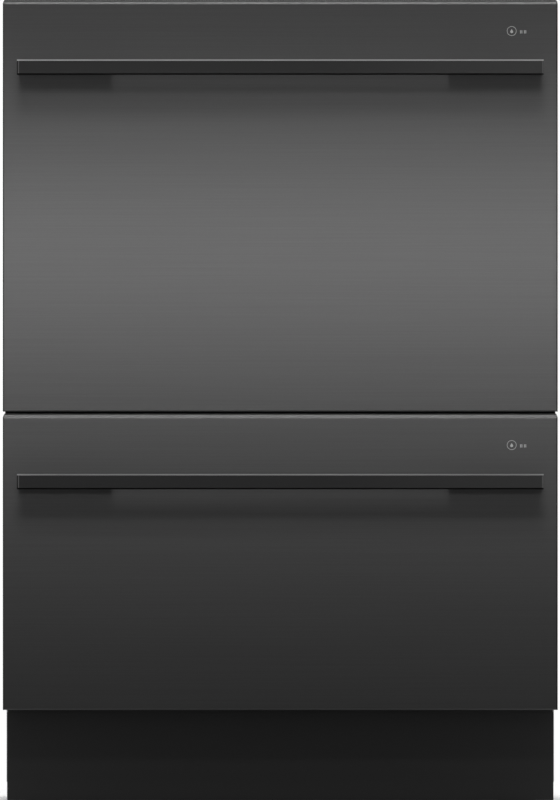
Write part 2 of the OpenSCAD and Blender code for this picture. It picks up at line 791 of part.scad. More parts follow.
// Open-topped housing under the tub's floor, with the pump chamber, its bearing and a drain stub
module sump_housing(d) {
    color("darkgray") translate([0, tub_yc, bay_z0(d)]) difference() {
        union() {
            difference() {
                cylinder(r = module_r, h = module_h);
                translate([0, 0, module_wall]) cylinder(r = module_r - module_wall, h = module_h);
            }
            difference() {
                cylinder(r = chamber_r + chamber_wall, h = module_h - chamber_drop);
                translate([0, 0, module_wall]) cylinder(r = chamber_r, h = module_h);
            }
            cylinder(r = shaft_r + 4, h = module_wall + boss_h);
            pin_y([0, module_r - module_wall, module_h / 2], stub_r + stub_wall, module_wall + stub_l);
        }
        translate([0, 0, module_wall]) cylinder(r = shaft_r + touch, h = module_h);
        pin_y([0, module_r - 2 * module_wall, module_h / 2], stub_r, 2 * module_wall + stub_l + cut);
    }
}

// Magnet rotor and pump impeller in one piece
module pump_rotor(d) {
    disc_z = module_wall + boss_h + touch;
    blade_h = 8;
    color("dimgray") translate([0, tub_yc, bay_z0(d)]) {
        translate([0, 0, module_wall + touch]) cylinder(r = shaft_r, h = module_h - module_wall - 6);
        translate([0, 0, disc_z]) cylinder(r = rotor_r, h = rotor_h);
        for (i = [0 : blade_count - 1]) rotate([0, 0, i * 360 / blade_count])
            translate([0, -1.5, disc_z + rotor_h - cut]) cube([rotor_r - 6, 3, blade_h + cut]);
    }
}

// Perforated plate over the sump, with the hub that the spray arm turns on
module filter_plate(d) {
    rings = [[18, 40, 16], [50, 68, 30], [72, 90, 42]]; // inner and outer radius and number of slots
    hole_r = drain_filter_r + touch;
    color("silver") difference() {
        translate([0, tub_yc, floor_z(d)]) {
            cylinder(r = sump_r + filter_overlap, h = filter_t);
            cylinder(r = spigot_r + 4, h = spray_z - touch);
            cylinder(r = spigot_r, h = spray_z + spray_t + 4);
        }
        translate([drain_place.x, drain_place.y, floor_z(d) - cut])
            cylinder(r = hole_r, h = filter_t + 2 * cut);
        translate([0, tub_yc, floor_z(d) - cut]) linear_extrude(filter_t + 2 * cut)
            for (ring = rings, i = [0 : ring[2] - 1]) {
                a = 90 + (i + 0.5) * 360 / ring[2];
                middle = (ring[0] + ring[1]) / 2;
                off = norm([middle * cos(a), middle * sin(a) - drain_filter_offset]);
                if (off > hole_r + (ring[1] - ring[0]) / 2 + 3)
                    rotate(a) translate([ring[0], -slot_w / 2]) square([ring[1] - ring[0], slot_w]);
            }
    }
}

// Fine filter that drops through the plate into the sump and locks with a quarter turn
module drain_filter(d) {
    flange_z = floor_z(d) + filter_t + touch;
    color("steelblue") translate([drain_place.x, drain_place.y, 0]) {
        translate([0, 0, bay_z0(d) + module_wall + touch]) difference() {
            cylinder(r = drain_filter_r, h = flange_z - bay_z0(d) - module_wall);
            translate([0, 0, 2]) cylinder(r = drain_filter_r - 2, h = total_h);
        }
        translate([0, 0, flange_z]) difference() {
            cylinder(r = drain_filter_r + 3, h = 2.5);
            translate([0, 0, -cut]) cylinder(r = drain_filter_r - 4, h = 2.5 + 2 * cut);
        }
        translate([2 - drain_filter_r, -2, flange_z]) cube([2 * drain_filter_r - 4, 4, 8]);
    }
}

// Two-bladed arm that the water turns, with spray holes along its blades
module spray_arm(d) {
    reach = min(tub_w, tub_d) / 2 - tub_wall - spray_gap;
    root_w = spray_root_w;
    tip_r = spray_tip_r;
    hub_r = spigot_r + spray_hub_w;
    color("gainsboro") translate([0, tub_yc, floor_z(d) + spray_z]) difference() {
        linear_extrude(spray_t) {
            circle(r = hub_r);
            for (a = [0, 180]) rotate(a) {
                polygon([[0, -root_w], [reach - tip_r, -tip_r], [reach - tip_r, tip_r], [0, root_w]]);
                translate([reach - tip_r, 0]) circle(r = tip_r);
            }
        }
        translate([0, 0, -cut]) cylinder(r = spigot_r + touch, h = spray_t + 2 * cut);
        for (a = [0, 180], share = [0.3, 0.48, 0.66, 0.84]) rotate([0, 0, a])
            translate([share * reach, (share > 0.5 ? -1 : 1) * 5, spray_t - 4])
                cylinder(r = nozzle_r, h = 4 + cut);
    }
}

// ---- Rack ----

rack_x = tub_in_x - rack_gap; // outside of the rack
rack_y0 = tub_in_y0 + rack_gap;
rack_y1 = tub_y1 - tub_wall - rack_gap;
inner_x = rack_x - wire_t - touch;
function rack_z(d) = floor_z(d) + rack_lift;
function rack_h(d) = d == LOWER ? lower_rack_h : upper_rack_h;
function base_top(d) = rack_z(d) + wire_t;
row_y0 = tub_yc - (tine_count * tine_pitch) / 2;
fold_row_x = -row_pitch / 2;

// Side mat with two legs down to the tub's floor
module rack_side(d) {
    translate([rack_x - wire_t, rack_y0, rack_z(d)]) rotate([90, 0, 90]) linear_extrude(wire_t) {
        grille(rack_y1 - rack_y0, rack_h(d), 8, 3);
        for (s = [-1, 1]) translate([tub_yc - rack_y0 + s * leg_offset - wire_t / 2, touch - rack_lift])
            square([wire_t, rack_lift + wire_t - touch]);
    }
}

// Welded wire rack: a base mat, four side mats and two rows of fixed tines
module rack(d) {
    end_w = 2 * inner_x;
    color("gray") {
        both_sides() rack_side(d);
        for (y = [rack_y0 + wire_t, rack_y1])
            translate([-inner_x, y, rack_z(d)]) rotate([90, 0, 0]) linear_extrude(wire_t)
                grille(end_w, rack_h(d), 8, 3);
        translate([-inner_x, rack_y0 + wire_t + touch, rack_z(d)]) linear_extrude(wire_t)
            grille(end_w, rack_y1 - rack_y0 - 2 * (wire_t + touch), 9, 6);
        for (x = [fold_row_x - row_pitch, fold_row_x + row_pitch])
            translate([x - wire_t / 2, row_y0, base_top(d) + touch]) rotate([90, 0, 90])
                linear_extrude(wire_t) tine_comb();
    }
}

// Row of tines on a bar, in the plane of the row
module tine_comb() {
    square([tine_count * tine_pitch, wire_t]);
    for (i = [0 : tine_count - 1])
        translate([(i + 0.5) * tine_pitch - wire_t / 2, 0]) square([wire_t, tine_h]);
}

// A row of tines on a round bar, which folds down flat on the base mat
module folding_tines(d) {
    r = wire_t / 2;
    color("steelblue") translate([fold_row_x, row_y0, base_top(d) + touch + r]) {
        pin_y([0, 0, 0], r, tine_count * tine_pitch);
        for (i = [0 : tine_count - 1])
            translate([-r, (i + 0.5) * tine_pitch - r, 0]) cube([wire_t, wire_t, tine_h - r]);
    }
}

// Wire shelf for cups along the left side, which folds up against the side mat
module cup_shelf(d) {
    hinge_x = -inner_x + wire_t / 2;
    z = rack_z(d) + rack_h(d) - shelf_drop;
    y0 = rack_y1 - wire_t - touch - shelf_l - 6;
    color("steelblue") {
        translate([hinge_x, y0, z - wire_t / 2]) linear_extrude(wire_t) grille(shelf_d, shelf_l, 2, 7);
        pin_y([hinge_x, y0, z], wire_t / 2, shelf_l);
    }
}

// Open basket with compartments in a row and a carrying handle over its middle
module cutlery_basket(d) {
    x1 = inner_x - 1;
    x0 = x1 - basket_w;
    y0 = rack_y0 + wire_t + 2;
    y1 = y0 + basket_l;
    z = base_top(d) + touch;
    side_z = z + basket_h;
    handle_z = side_z + basket_handle_h;
    cell_l = (basket_l - basket_wall) / basket_cells;
    grip_x0 = (x0 + x1) / 2 - 4;
    grip_x1 = grip_x0 + 8;
    color("slategray") {
        difference() {
            box([x0, y0, z], [x1, y1, side_z]);
            for (i = [0 : basket_cells - 1])
                box([x0 + basket_wall, y0 + basket_wall + i * cell_l, z + basket_wall],
                    [x1 - basket_wall, y0 + (i + 1) * cell_l, side_z + cut]);
        }
        for (y = [y0, y1 - basket_wall])
            box([grip_x0, y, side_z - cut], [grip_x1, y + basket_wall, handle_z]);
        box([grip_x0, y0, handle_z - 4], [grip_x1, y1, handle_z]);
    }
}

// ---- Connections at the back ----

plate_y = service_y + sheet_t; // outside of the rear panel behind the connections

module inlet_valve() {
    body = 34;
    body_d = 20;
    coil_h = 20;
    thread_l = inlet_thread_l;
    color("whitesmoke") translate([inlet_x, plate_y, connection_z]) difference() {
        union() {
            translate([-body / 2, 0, -body / 2]) cube([body, body_d, body]);
            pin_y([0, 0, 0], inlet_r, body_d + thread_l);
            translate([0, body_d / 2, 0]) cylinder(r = body_d / 2 - 1, h = body / 2 + coil_h);
        }
        pin_y([0, body_d, 0], inlet_r - 3.5, thread_l + cut);
    }
}

module drain_outlet() {
    flange_t = 3;
    color("dimgray") translate([drain_x, plate_y, connection_z]) difference() {
        union() {
            pin_y([0, 0, 0], drain_r + 8, flange_t);
            pin_y([0, 0, 0], drain_r, flange_t + drain_spigot_l);
        }
        pin_y([0, flange_t, 0], drain_r - 2, drain_spigot_l + cut);
    }
}

// Mains terminal box with a cable gland on its side; the cord itself is not part of the machine
module terminal_box() {
    w = 70;
    h = 60;
    depth = 36;
    gland_l = 18;
    gland_depth = 10; // how far the gland's bore runs into the box
    gland_z = 10 - h / 2;
    color("black") translate([terminal_x, plate_y, connection_z]) difference() {
        union() {
            translate([-w / 2, 0, -h / 2]) cube([w, depth, h]);
            pin_x([w / 2 - cut, depth / 2, gland_z], gland_r + 4, gland_l + cut);
        }
        pin_x([w / 2 - gland_depth, depth / 2, gland_z], gland_r, gland_depth + gland_l + cut);
    }
}

side_panels();
rear_panel();
top_panel();
base_tray();
middle_brace();
front_gasket();
kick_plate();
bench_brackets();
cabinet_rails();
lid_motors();
inlet_valve();
drain_outlet();
terminal_box();
panel_screws();
levelling_foot([-1, -1]);  // front_left_foot
levelling_foot([1, -1]);  // front_right_foot
levelling_foot([-1, 1]);  // rear_left_foot
levelling_foot([1, 1]);  // rear_right_foot
front_panel(LOWER);  // lower_front_panel
front_liner(LOWER);  // lower_front_liner
control_unit(LOWER);  // lower_control_unit
handle(LOWER);  // lower_handle
tub(LOWER);  // lower_tub
drawer_rails(LOWER);  // lower_drawer_rails
middle_rails(LOWER);  // lower_middle_rails
lid(LOWER);  // lower_lid
lid_seal(LOWER);  // lower_lid_seal
sump_housing(LOWER);  // lower_sump_housing
pump_rotor(LOWER);  // lower_pump_rotor
filter_plate(LOWER);  // lower_filter_plate
drain_filter(LOWER);  // lower_drain_filter
spray_arm(LOWER);  // lower_spray_arm
rack(LOWER);  // lower_rack
folding_tines(LOWER);  // lower_folding_tines
cup_shelf(LOWER);  // lower_cup_shelf
cutlery_basket(LOWER);  // lower_cutlery_basket
dispenser(LOWER);  // lower_dispenser
detergent_door(LOWER);  // lower_detergent_door
rinse_aid_cap(LOWER);  // lower_rinse_aid_cap
front_panel(UPPER);  // upper_front_panel
front_liner(UPPER);  // upper_front_liner
control_unit(UPPER);  // upper_control_unit
handle(UPPER);  // upper_handle
tub(UPPER);  // upper_tub
drawer_rails(UPPER);  // upper_drawer_rails
middle_rails(UPPER);  // upper_middle_rails
lid(UPPER);  // upper_lid
lid_seal(UPPER);  // upper_lid_seal
sump_housing(UPPER);  // upper_sump_housing
pump_rotor(UPPER);  // upper_pump_rotor
filter_plate(UPPER);  // upper_filter_plate
drain_filter(UPPER);  // upper_drain_filter
spray_arm(UPPER);  // upper_spray_arm
rack(UPPER);  // upper_rack
folding_tines(UPPER);  // upper_folding_tines
cup_shelf(UPPER);  // upper_cup_shelf
cutlery_basket(UPPER);  // upper_cutlery_basket
dispenser(UPPER);  // upper_dispenser
detergent_door(UPPER);  // upper_detergent_door
rinse_aid_cap(UPPER);  // upper_rinse_aid_cap
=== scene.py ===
import json
import math

import bmesh
import bpy
from mathutils import Matrix, Vector

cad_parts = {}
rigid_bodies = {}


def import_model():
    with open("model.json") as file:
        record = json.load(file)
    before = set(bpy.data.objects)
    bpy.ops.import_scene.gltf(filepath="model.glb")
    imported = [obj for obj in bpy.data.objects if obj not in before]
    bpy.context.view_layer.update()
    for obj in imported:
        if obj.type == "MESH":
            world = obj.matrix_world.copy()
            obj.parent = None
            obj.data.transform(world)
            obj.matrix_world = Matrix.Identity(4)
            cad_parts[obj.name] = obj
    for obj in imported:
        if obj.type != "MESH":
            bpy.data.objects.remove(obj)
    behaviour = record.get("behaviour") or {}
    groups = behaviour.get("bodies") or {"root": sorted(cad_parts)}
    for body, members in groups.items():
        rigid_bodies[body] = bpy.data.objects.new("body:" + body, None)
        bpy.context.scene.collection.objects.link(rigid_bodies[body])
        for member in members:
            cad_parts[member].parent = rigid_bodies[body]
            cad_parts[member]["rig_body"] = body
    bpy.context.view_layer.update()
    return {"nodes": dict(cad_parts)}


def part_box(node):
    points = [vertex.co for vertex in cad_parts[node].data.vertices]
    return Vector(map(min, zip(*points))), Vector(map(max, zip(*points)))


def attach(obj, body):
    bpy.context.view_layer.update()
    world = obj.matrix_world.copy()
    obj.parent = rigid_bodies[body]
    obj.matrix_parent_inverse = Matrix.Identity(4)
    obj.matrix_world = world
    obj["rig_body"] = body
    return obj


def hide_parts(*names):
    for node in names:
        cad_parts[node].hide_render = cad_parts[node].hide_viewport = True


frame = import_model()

# ---- Chassis sheets ----
# The side panels, back, top, brace and flood tray are folded from zinc-coated sheet steel
# and screwed together. Shallow swages pressed into the large sheets keep them from drumming.

MM = 0.001
DRAWERS = ("lower", "upper")
SIDES = (-1, 1)
MIX_A, MIX_B, MIXED = 6, 7, 2  # the colour sockets of a Mix node
SHEET_EDGE_R = 0.3
SWAGE_H = 1
SWAGE_EDGE_R = 0.95
SIDE_SWAGE_W = 18
SIDE_SWAGES_Y = (-100, 95)
SIDE_SWAGES_Z = ((215, 490), (540, 830))
WIDE_SWAGE_W = 20
WIDE_SWAGES_X = (-180, 0, 180)
BACK_SWAGE_Z = (150, 830)
TOP_SWAGE_Y = (-150, 265)
body_of = {name: node["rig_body"] for name, node in frame["nodes"].items()}


def corners(node):
    """Lowest and highest corner of a CAD node, in millimetres"""
    low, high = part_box(node)
    return low / MM, high / MM


def finish(name, colour, rough, metallic=0.0, grain=(300, 300, 300), tint=0.08, spread=0.05, pit=0.00002,
           detail=3, shine=0.5, graze=1):
    """A material whose colour, gloss and surface vary with one noise, its grain given per metre"""
    made = bpy.data.materials.new(name)
    made.use_nodes = True
    nodes, links = made.node_tree.nodes, made.node_tree.links
    shader = nodes["Principled BSDF"]
    shader.inputs["Metallic"].default_value = metallic
    shader.inputs["Specular IOR Level"].default_value = shine
    shader.inputs["Specular Tint"].default_value = (graze, graze, graze, 1)
    place = nodes.new("ShaderNodeTexCoord")
    stretch = nodes.new("ShaderNodeMapping")
    stretch.inputs["Scale"].default_value = grain
    noise = nodes.new("ShaderNodeTexNoise")
    noise.inputs["Scale"].default_value = 1
    noise.inputs["Detail"].default_value = detail
    blend = nodes.new("ShaderNodeMix")
    blend.data_type = "RGBA"
    blend.inputs[MIX_A].default_value = [c * (1 - tint) for c in colour] + [1]
    blend.inputs[MIX_B].default_value = [min(1, c * (1 + tint)) for c in colour] + [1]
    gloss = nodes.new("ShaderNodeMapRange")
    gloss.inputs["To Min"].default_value = rough - spread
    gloss.inputs["To Max"].default_value = rough + spread
    bump = nodes.new("ShaderNodeBump")
    bump.inputs["Distance"].default_value = pit
    links.new(place.outputs["Object"], stretch.inputs["Vector"])
    links.new(stretch.outputs["Vector"], noise.inputs["Vector"])
    links.new(noise.outputs["Fac"], blend.inputs[0])
    links.new(noise.outputs["Fac"], gloss.inputs["Value"])
    links.new(noise.outputs["Fac"], bump.inputs["Height"])
    links.new(blend.outputs[MIXED], shader.inputs["Base Color"])
    links.new(gloss.outputs["Result"], shader.inputs["Roughness"])
    links.new(bump.outputs["Normal"], shader.inputs["Normal"])
    return made


def put(bm, name, node, *materials, stands_for=()):
    """Makes a bmesh a piece that rides with a CAD node's body and may stand for nodes, which it hides"""
    mesh = bpy.data.meshes.new(name)
    bm.to_mesh(mesh)
    bm.free()
    for material in materials:
        mesh.materials.append(material)
    mesh.shade_smooth()
    mesh.set_sharp_from_angle(angle=math.radians(50))
    piece = bpy.data.objects.new(name, mesh)
    bpy.context.scene.collection.objects.link(piece)
    weigh = piece.modifiers.new("flat_faces", "WEIGHTED_NORMAL")
    weigh.keep_sharp = True
    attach(piece, body_of[node])
    if stands_for:
        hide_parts(*stands_for)
    return piece


def close(bm):
    """Merges the seams of new shapes and turns their faces outwards"""
    bmesh.ops.remove_doubles(bm, verts=bm.verts, dist=0.001 * MM)
    bmesh.ops.recalc_face_normals(bm, faces=bm.faces)


def merged_copy(node):
    """The solid's faces as one mesh whose flat faces are whole"""
    bm = bmesh.new()
    bm.from_mesh(frame["nodes"][node].data)
    bmesh.ops.remove_doubles(bm, verts=bm.verts, dist=0.01 * MM)
    bmesh.ops.dissolve_limit(bm, angle_limit=math.radians(1), verts=bm.verts, edges=bm.edges)
    return bm


def sharp_edges(bm, angle=35):
    return [e for e in bm.edges if len(e.link_faces) == 2 and e.calc_face_angle(0) > math.radians(angle)]


def round_off(bm, edges, width, segments=2):
    bmesh.ops.bevel(bm, geom=edges, offset=width * MM, offset_type="OFFSET", segments=segments, profile=0.5,
                    affect="EDGES", clamp_overlap=True, material=-1)


def soften(node, width, material, segments=2):
    """The CAD piece with its sharp edges rounded"""
    bm = merged_copy(node)
    round_off(bm, sharp_edges(bm), width, segments)
    return put(bm, node + "_finished", node, material, stands_for=[node])


def block(bm, low, high, width=0.0, segments=2):
    """A box between two corners, its edges rounded"""
    low, high = Vector(low) * MM, Vector(high) * MM
    made = bmesh.ops.create_cube(bm, size=1, matrix=Matrix.LocRotScale((low + high) / 2, None, high - low))
    if width:
        round_off(bm, list({e for v in made["verts"] for e in v.link_edges}), width, segments)


galvanised = finish("zinc_coated_sheet", (0.42, 0.43, 0.44), 0.48, 0.85, grain=(70, 70, 70), tint=0.14,
                    spread=0.1, pit=0.00001, detail=6, graze=0.4)
for node in ("side_panels", "rear_panel", "top_panel", "middle_brace", "base_tray"):
    soften(node, SHEET_EDGE_R, galvanised)

swages = bmesh.new()
sheet_x = corners("side_panels")[1].x
sheet_y = corners("rear_panel")[1].y
sheet_z = corners("top_panel")[1].z
for side in SIDES:
    for y in SIDE_SWAGES_Y:
        for z0, z1 in SIDE_SWAGES_Z:
            block(swages, (side * sheet_x - SWAGE_H, y - SIDE_SWAGE_W / 2, z0),
                  (side * sheet_x + SWAGE_H, y + SIDE_SWAGE_W / 2, z1), SWAGE_EDGE_R, 3)
for x in WIDE_SWAGES_X:
    x0, x1 = x - WIDE_SWAGE_W / 2, x + WIDE_SWAGE_W / 2
    block(swages, (x0, sheet_y - SWAGE_H, BACK_SWAGE_Z[0]), (x1, sheet_y + SWAGE_H, BACK_SWAGE_Z[1]),
          SWAGE_EDGE_R, 3)
    block(swages, (x0, TOP_SWAGE_Y[0], sheet_z - SWAGE_H), (x1, TOP_SWAGE_Y[1], sheet_z + SWAGE_H),
          SWAGE_EDGE_R, 3)
put(swages, "chassis_swages", "side_panels", galvanised)

# ---- Small steel parts ----
# The bench brackets are flat zinc-plated strips with two holes each. The panels are held by
# pan-head screws with a round socket, three for each rail and four up each side of the back.

zinc = finish("bright_zinc", (0.5, 0.51, 0.53), 0.4, 0.95, grain=(90, 90, 90), spread=0.06, graze=0.5)
PAN_HEAD = [(0, 0.7), (1.3, 0.7), (1.4, 2), (2.4, 1.9), (3.4, 1.3), (4, 0.4), (4, -0.1), (0, -0.1)]
RAIL_SCREWS_Y = (-193.5, -1.5, 190.5)
BACK_SCREWS_X = 290
BACK_SCREWS_FROM = 110
BACK_SCREW_SHARES = (0.05, 0.35, 0.65, 0.95)


def turned(bm, profile, base, along, steps=32, closed=False):
    """Spins a profile of (radius, height) pairs, in millimetres, round an axis through its base"""
    turn = Vector(along).to_track_quat("Z", "Y").to_matrix().to_4x4()
    placed = Matrix.Translation(Vector(base) * MM) @ turn
    verts = [bm.verts.new(placed @ Vector((r * MM, 0, h * MM))) for r, h in profile]
    pairs = list(zip(verts, verts[1:])) + ([(verts[-1], verts[0])] if closed else [])
    edges = [bm.edges.new(pair) for pair in pairs]
    bmesh.ops.spin(bm, geom=verts + edges, cent=placed.translation, axis=turn.to_3x3() @ Vector((0, 0, 1)),
                   angle=math.tau, steps=steps, use_merge=True)


soften("bench_brackets", SHEET_EDGE_R, zinc)
screws = bmesh.new()
for low, high in (corners(d + "_middle_rails") for d in DRAWERS):
    for y in RAIL_SCREWS_Y:
        for side in SIDES:
            turned(screws, PAN_HEAD, (side * sheet_x, y, (low.z + high.z) / 2), (side, 0, 0), 16)
for share in BACK_SCREW_SHARES:
    for side in SIDES:
        z = BACK_SCREWS_FROM + share * (sheet_z - BACK_SCREWS_FROM)
        turned(screws, PAN_HEAD, (side * BACK_SCREWS_X, sheet_y, z), (0, 1, 0), 16)
close(screws)
put(screws, "pan_head_screws", "panel_screws", zinc, stands_for=["panel_screws"])

# ---- Levelling feet ----
# Each foot is glass-filled nylon: a wide pad with a hexagon for a spanner above it, and a
# coarse thread that screws up into the nut in the flood tray.

nylon = finish("glass_filled_nylon", (0.045, 0.045, 0.05), 0.55, grain=(700, 700, 700), tint=0.25)
PAD = [(0, 0), (17, 0), (17.5, 0.6), (19.4, 0.6), (20, 1.4), (20, 4.6), (19, 5.6), (11, 7.6), (4.4, 8)]
HEXAGON = [(0, 7), (8.6, 7), (9, 7.5), (9, 14), (8.4, 14.8), (0, 14.8)]
STEM_PITCH = 2.5
STEM_R = 5
STEM_ROOT_R = 4.3
STEM_FROM = 15
for node in ("front_left_foot", "front_right_foot", "rear_left_foot", "rear_right_foot"):
    low, high = corners(node)
    base = ((low.x + high.x) / 2, (low.y + high.y) / 2, 0)
    foot = bmesh.new()
    profile = list(PAD)
    for i in range(int((high.z - STEM_FROM - 2) / STEM_PITCH)):
        z = STEM_FROM + STEM_PITCH * i
        profile += [(STEM_ROOT_R, z), (STEM_R, z + 1), (STEM_R, z + 1.4), (STEM_ROOT_R, z + 2.4)]
    profile += [(4, high.z), (0, high.z)]
    turned(foot, profile, base, (0, 0, 1), 24)
    turned(foot, HEXAGON, base, (0, 0, 1), 6)
    close(foot)
    put(foot, node + "_moulding", node, nylon, stands_for=[node])

# ---- Kick plate and front gasket ----
# The kick plate is sheet with folded ends in matt black powder coat, and a strip on its top
# edge closes the gap below the lower front. The gasket is a soft black strip stuck round
# both openings, which the drawer fronts press on.

powder_coat = finish("matt_black_powder_coat", (0.04, 0.04, 0.04), 0.6, grain=(900, 900, 900), tint=0.12,
                     shine=0.1)
soft_rubber = finish("soft_black_rubber", (0.01, 0.01, 0.01), 0.7, grain=(500, 500, 500), tint=0.15,
                     shine=0.2)
SOFT_EDGE_R = 0.4
KICK_STRIP_RISE = 4.2
KICK_STRIP_LAP = 2
soften("kick_plate", SOFT_EDGE_R, powder_coat)
low, high = corners("kick_plate")
kick_strip = bmesh.new()
block(kick_strip, (low.x + 1, low.y + 0.2, high.z - KICK_STRIP_LAP),
      (high.x - 1, low.y + 2, high.z + KICK_STRIP_RISE), SHEET_EDGE_R)
put(kick_strip, "kick_plate_strip", "kick_plate", powder_coat)
soften("front_gasket", SOFT_EDGE_R, soft_rubber)

# ---- Runners ----
# On each side three rolled steel rails slide in one another: one screwed to the chassis, a
# middle one, and one that carries the tub and holds the front by a tab.

RAIL_EDGE_R = 0.35
for node in ["cabinet_rails"] + [d + rail for d in DRAWERS for rail in ("_middle_rails", "_drawer_rails")]:
    soften(node, RAIL_EDGE_R, zinc)

# ---- Lid motors ----
# A geared motor in a black housing on each side of each drawer lowers its lid. The lid's
# hanger runs in a slot in the housing, which two screws hold to the side panel.

black_moulding = finish("black_moulding", (0.03, 0.03, 0.031), 0.5, grain=(900, 900, 900), tint=0.2)
soften("lid_motors", 0.8, black_moulding)

# ---- Connections at the back ----
# In the recess at the back are the white inlet valve with its coil and hose thread, the
# barbed drain outlet, and the black terminal box whose gland takes the mains lead.

white_moulding = finish("white_moulding", (0.72, 0.72, 0.7), 0.42, grain=(700, 700, 700), tint=0.03)
VALVE_W = 34
VALVE_BODY_L = 20
THREAD_TURNS = 8
THREAD_PITCH = 2
COIL_Y = 10
COIL_TAG_X = 4
COIL_TAG_W = 5
COIL_PROFILE = [(7.2, 18), (8.6, 18), (9, 18.6), (9, 31), (8.5, 31.8), (7.2, 31.8)]
low, high = corners("inlet_valve")
x = (low.x + high.x) / 2
z = low.z + VALVE_W / 2
valve = bmesh.new()
block(valve, (x - VALVE_W / 2, low.y, z - VALVE_W / 2),
      (x + VALVE_W / 2, low.y + VALVE_BODY_L, z + VALVE_W / 2), 2.5, 3)
profile = [(0, 18), (9.7, 18), (9.7, 37.6), (10.2, 38), (12.2, 38)]
for i in range(THREAD_TURNS):
    start = 37 - THREAD_PITCH * i
    profile += [(12.3, start), (13.2, start - 0.7), (13.2, start - 1.1), (12.3, start - 1.8)]
turned(valve, profile + [(12.3, 18), (0, 17)], (x, low.y, z), (0, 1, 0), 40)
turned(valve, [(0, 0), (7, 0), (7, 19), (0, 19)], (x, low.y + COIL_Y, z + 15), (0, 0, 1), 24)
close(valve)
put(valve, "inlet_valve_body", "inlet_valve", white_moulding, stands_for=["inlet_valve"])

coil_black = finish("coil_potting", (0.02, 0.02, 0.022), 0.45, grain=(400, 400, 400), tint=0.2)
coil = bmesh.new()
turned(coil, COIL_PROFILE, (x, low.y + COIL_Y, z), (0, 0, 1), 32, closed=True)
for side in SIDES:
    tag_x, tag_y = x + side * COIL_TAG_X, low.y + COIL_Y
    block(coil, (tag_x - COIL_TAG_W / 2, tag_y - COIL_TAG_W / 2, z + 31),
          (tag_x + COIL_TAG_W / 2, tag_y + COIL_TAG_W / 2, z + 36.8), 0.6)
close(coil)
put(coil, "inlet_valve_coil", "inlet_valve", coil_black)

BARBS = 5
BARB_PITCH = 5
low, high = corners("drain_outlet")
outlet = bmesh.new()
profile = [(0, 3.4), (7.5, 3.4), (7.5, 34.6), (7.8, 35), (8.2, 35)]
for i in range(BARBS):
    start = 31.5 - BARB_PITCH * i
    profile += [(9.5, start), (9.5, start - 0.8), (8.6, start - 1.2)]
turned(outlet, profile + [(9, 5.2), (10, 3.4), (17, 3), (17.5, 2.4), (17.5, 0), (0, 0)],
       ((low.x + high.x) / 2, low.y, (low.z + high.z) / 2), (0, 1, 0), 40)
close(outlet)
put(outlet, "drain_outlet_spigot", "drain_outlet", black_moulding, stands_for=["drain_outlet"])

soften("terminal_box", 1.4, black_moulding)
TERMINAL_BOX_W = 70
GLAND_Y = 18
GLAND_Z = 10
GLAND_R = 8.2
GLAND_RIBS = 12
GLAND_RIB_T = 1.8
low, high = corners("terminal_box")
box_x1 = low.x + TERMINAL_BOX_W
trim = bmesh.new()
block(trim, (low.x + 1.5, high.y - 9.5, low.z - 0.4), (box_x1 - 1.5, high.y - 8.5, high.z + 0.4), 0.3)
for z in (low.z + 8, high.z - 8):
    turned(trim, PAN_HEAD, (low.x + TERMINAL_BOX_W / 2, high.y - 0.6, z), (0, 1, 0), 16)
for i in range(GLAND_RIBS):
    angle = i * math.tau / GLAND_RIBS
    y = low.y + GLAND_Y + GLAND_R * math.cos(angle)
    z = low.z + GLAND_Z + GLAND_R * math.sin(angle)
    block(trim, (box_x1 + 6, y - GLAND_RIB_T / 2, z - GLAND_RIB_T / 2),
          (box_x1 + 16, y + GLAND_RIB_T / 2, z + GLAND_RIB_T / 2), 0.4)
put(trim, "terminal_box_trim", "terminal_box", black_moulding)

# ---- Drawer fronts ----
# Each front is one sheet of black stainless steel, brushed sideways and folded back on all
# four sides. The top fold is wide, and its ends are cut back a little at both corners.
# Glossier copies of the steel paint highlights on the folds and on the lower front's bottom
# edge, and a near-black one paints shade on the side edges.

CORNER_CUT_W = 1.8
CORNER_CUT_H = 4.8
CORNER_CUT_REACH = 2
CORNER_CUT_CURVE = 1.5
CORNER_CUT_SHARES = (1, 0.7, 0.4)
SIDE_EDGE_W = 1.3
SIDE_EDGE_BACK = 0.6
HIGHLIGHT_STRIP_H = 1.2
SHEET_FACE, FOLD, SIDE_EDGE, HIGHLIGHT_STRIP = range(4)


def lit_steel_copy(name, grey):
    """A glossier copy of the black steel that paints a highlight on a fold or an edge"""
    return finish(name, (grey, grey, grey), 0.38, 0.7, grain=(5, 5, 5), spread=0.01, pit=0.000001, shine=0)


def cut_across(bm, place, normal):
    """Splits the faces along a plane through a point given in millimetres"""
    bmesh.ops.bisect_plane(bm, geom=bm.verts[:] + bm.edges[:] + bm.faces[:], dist=0.001 * MM,
                           plane_co=Vector(place) * MM, plane_no=normal)


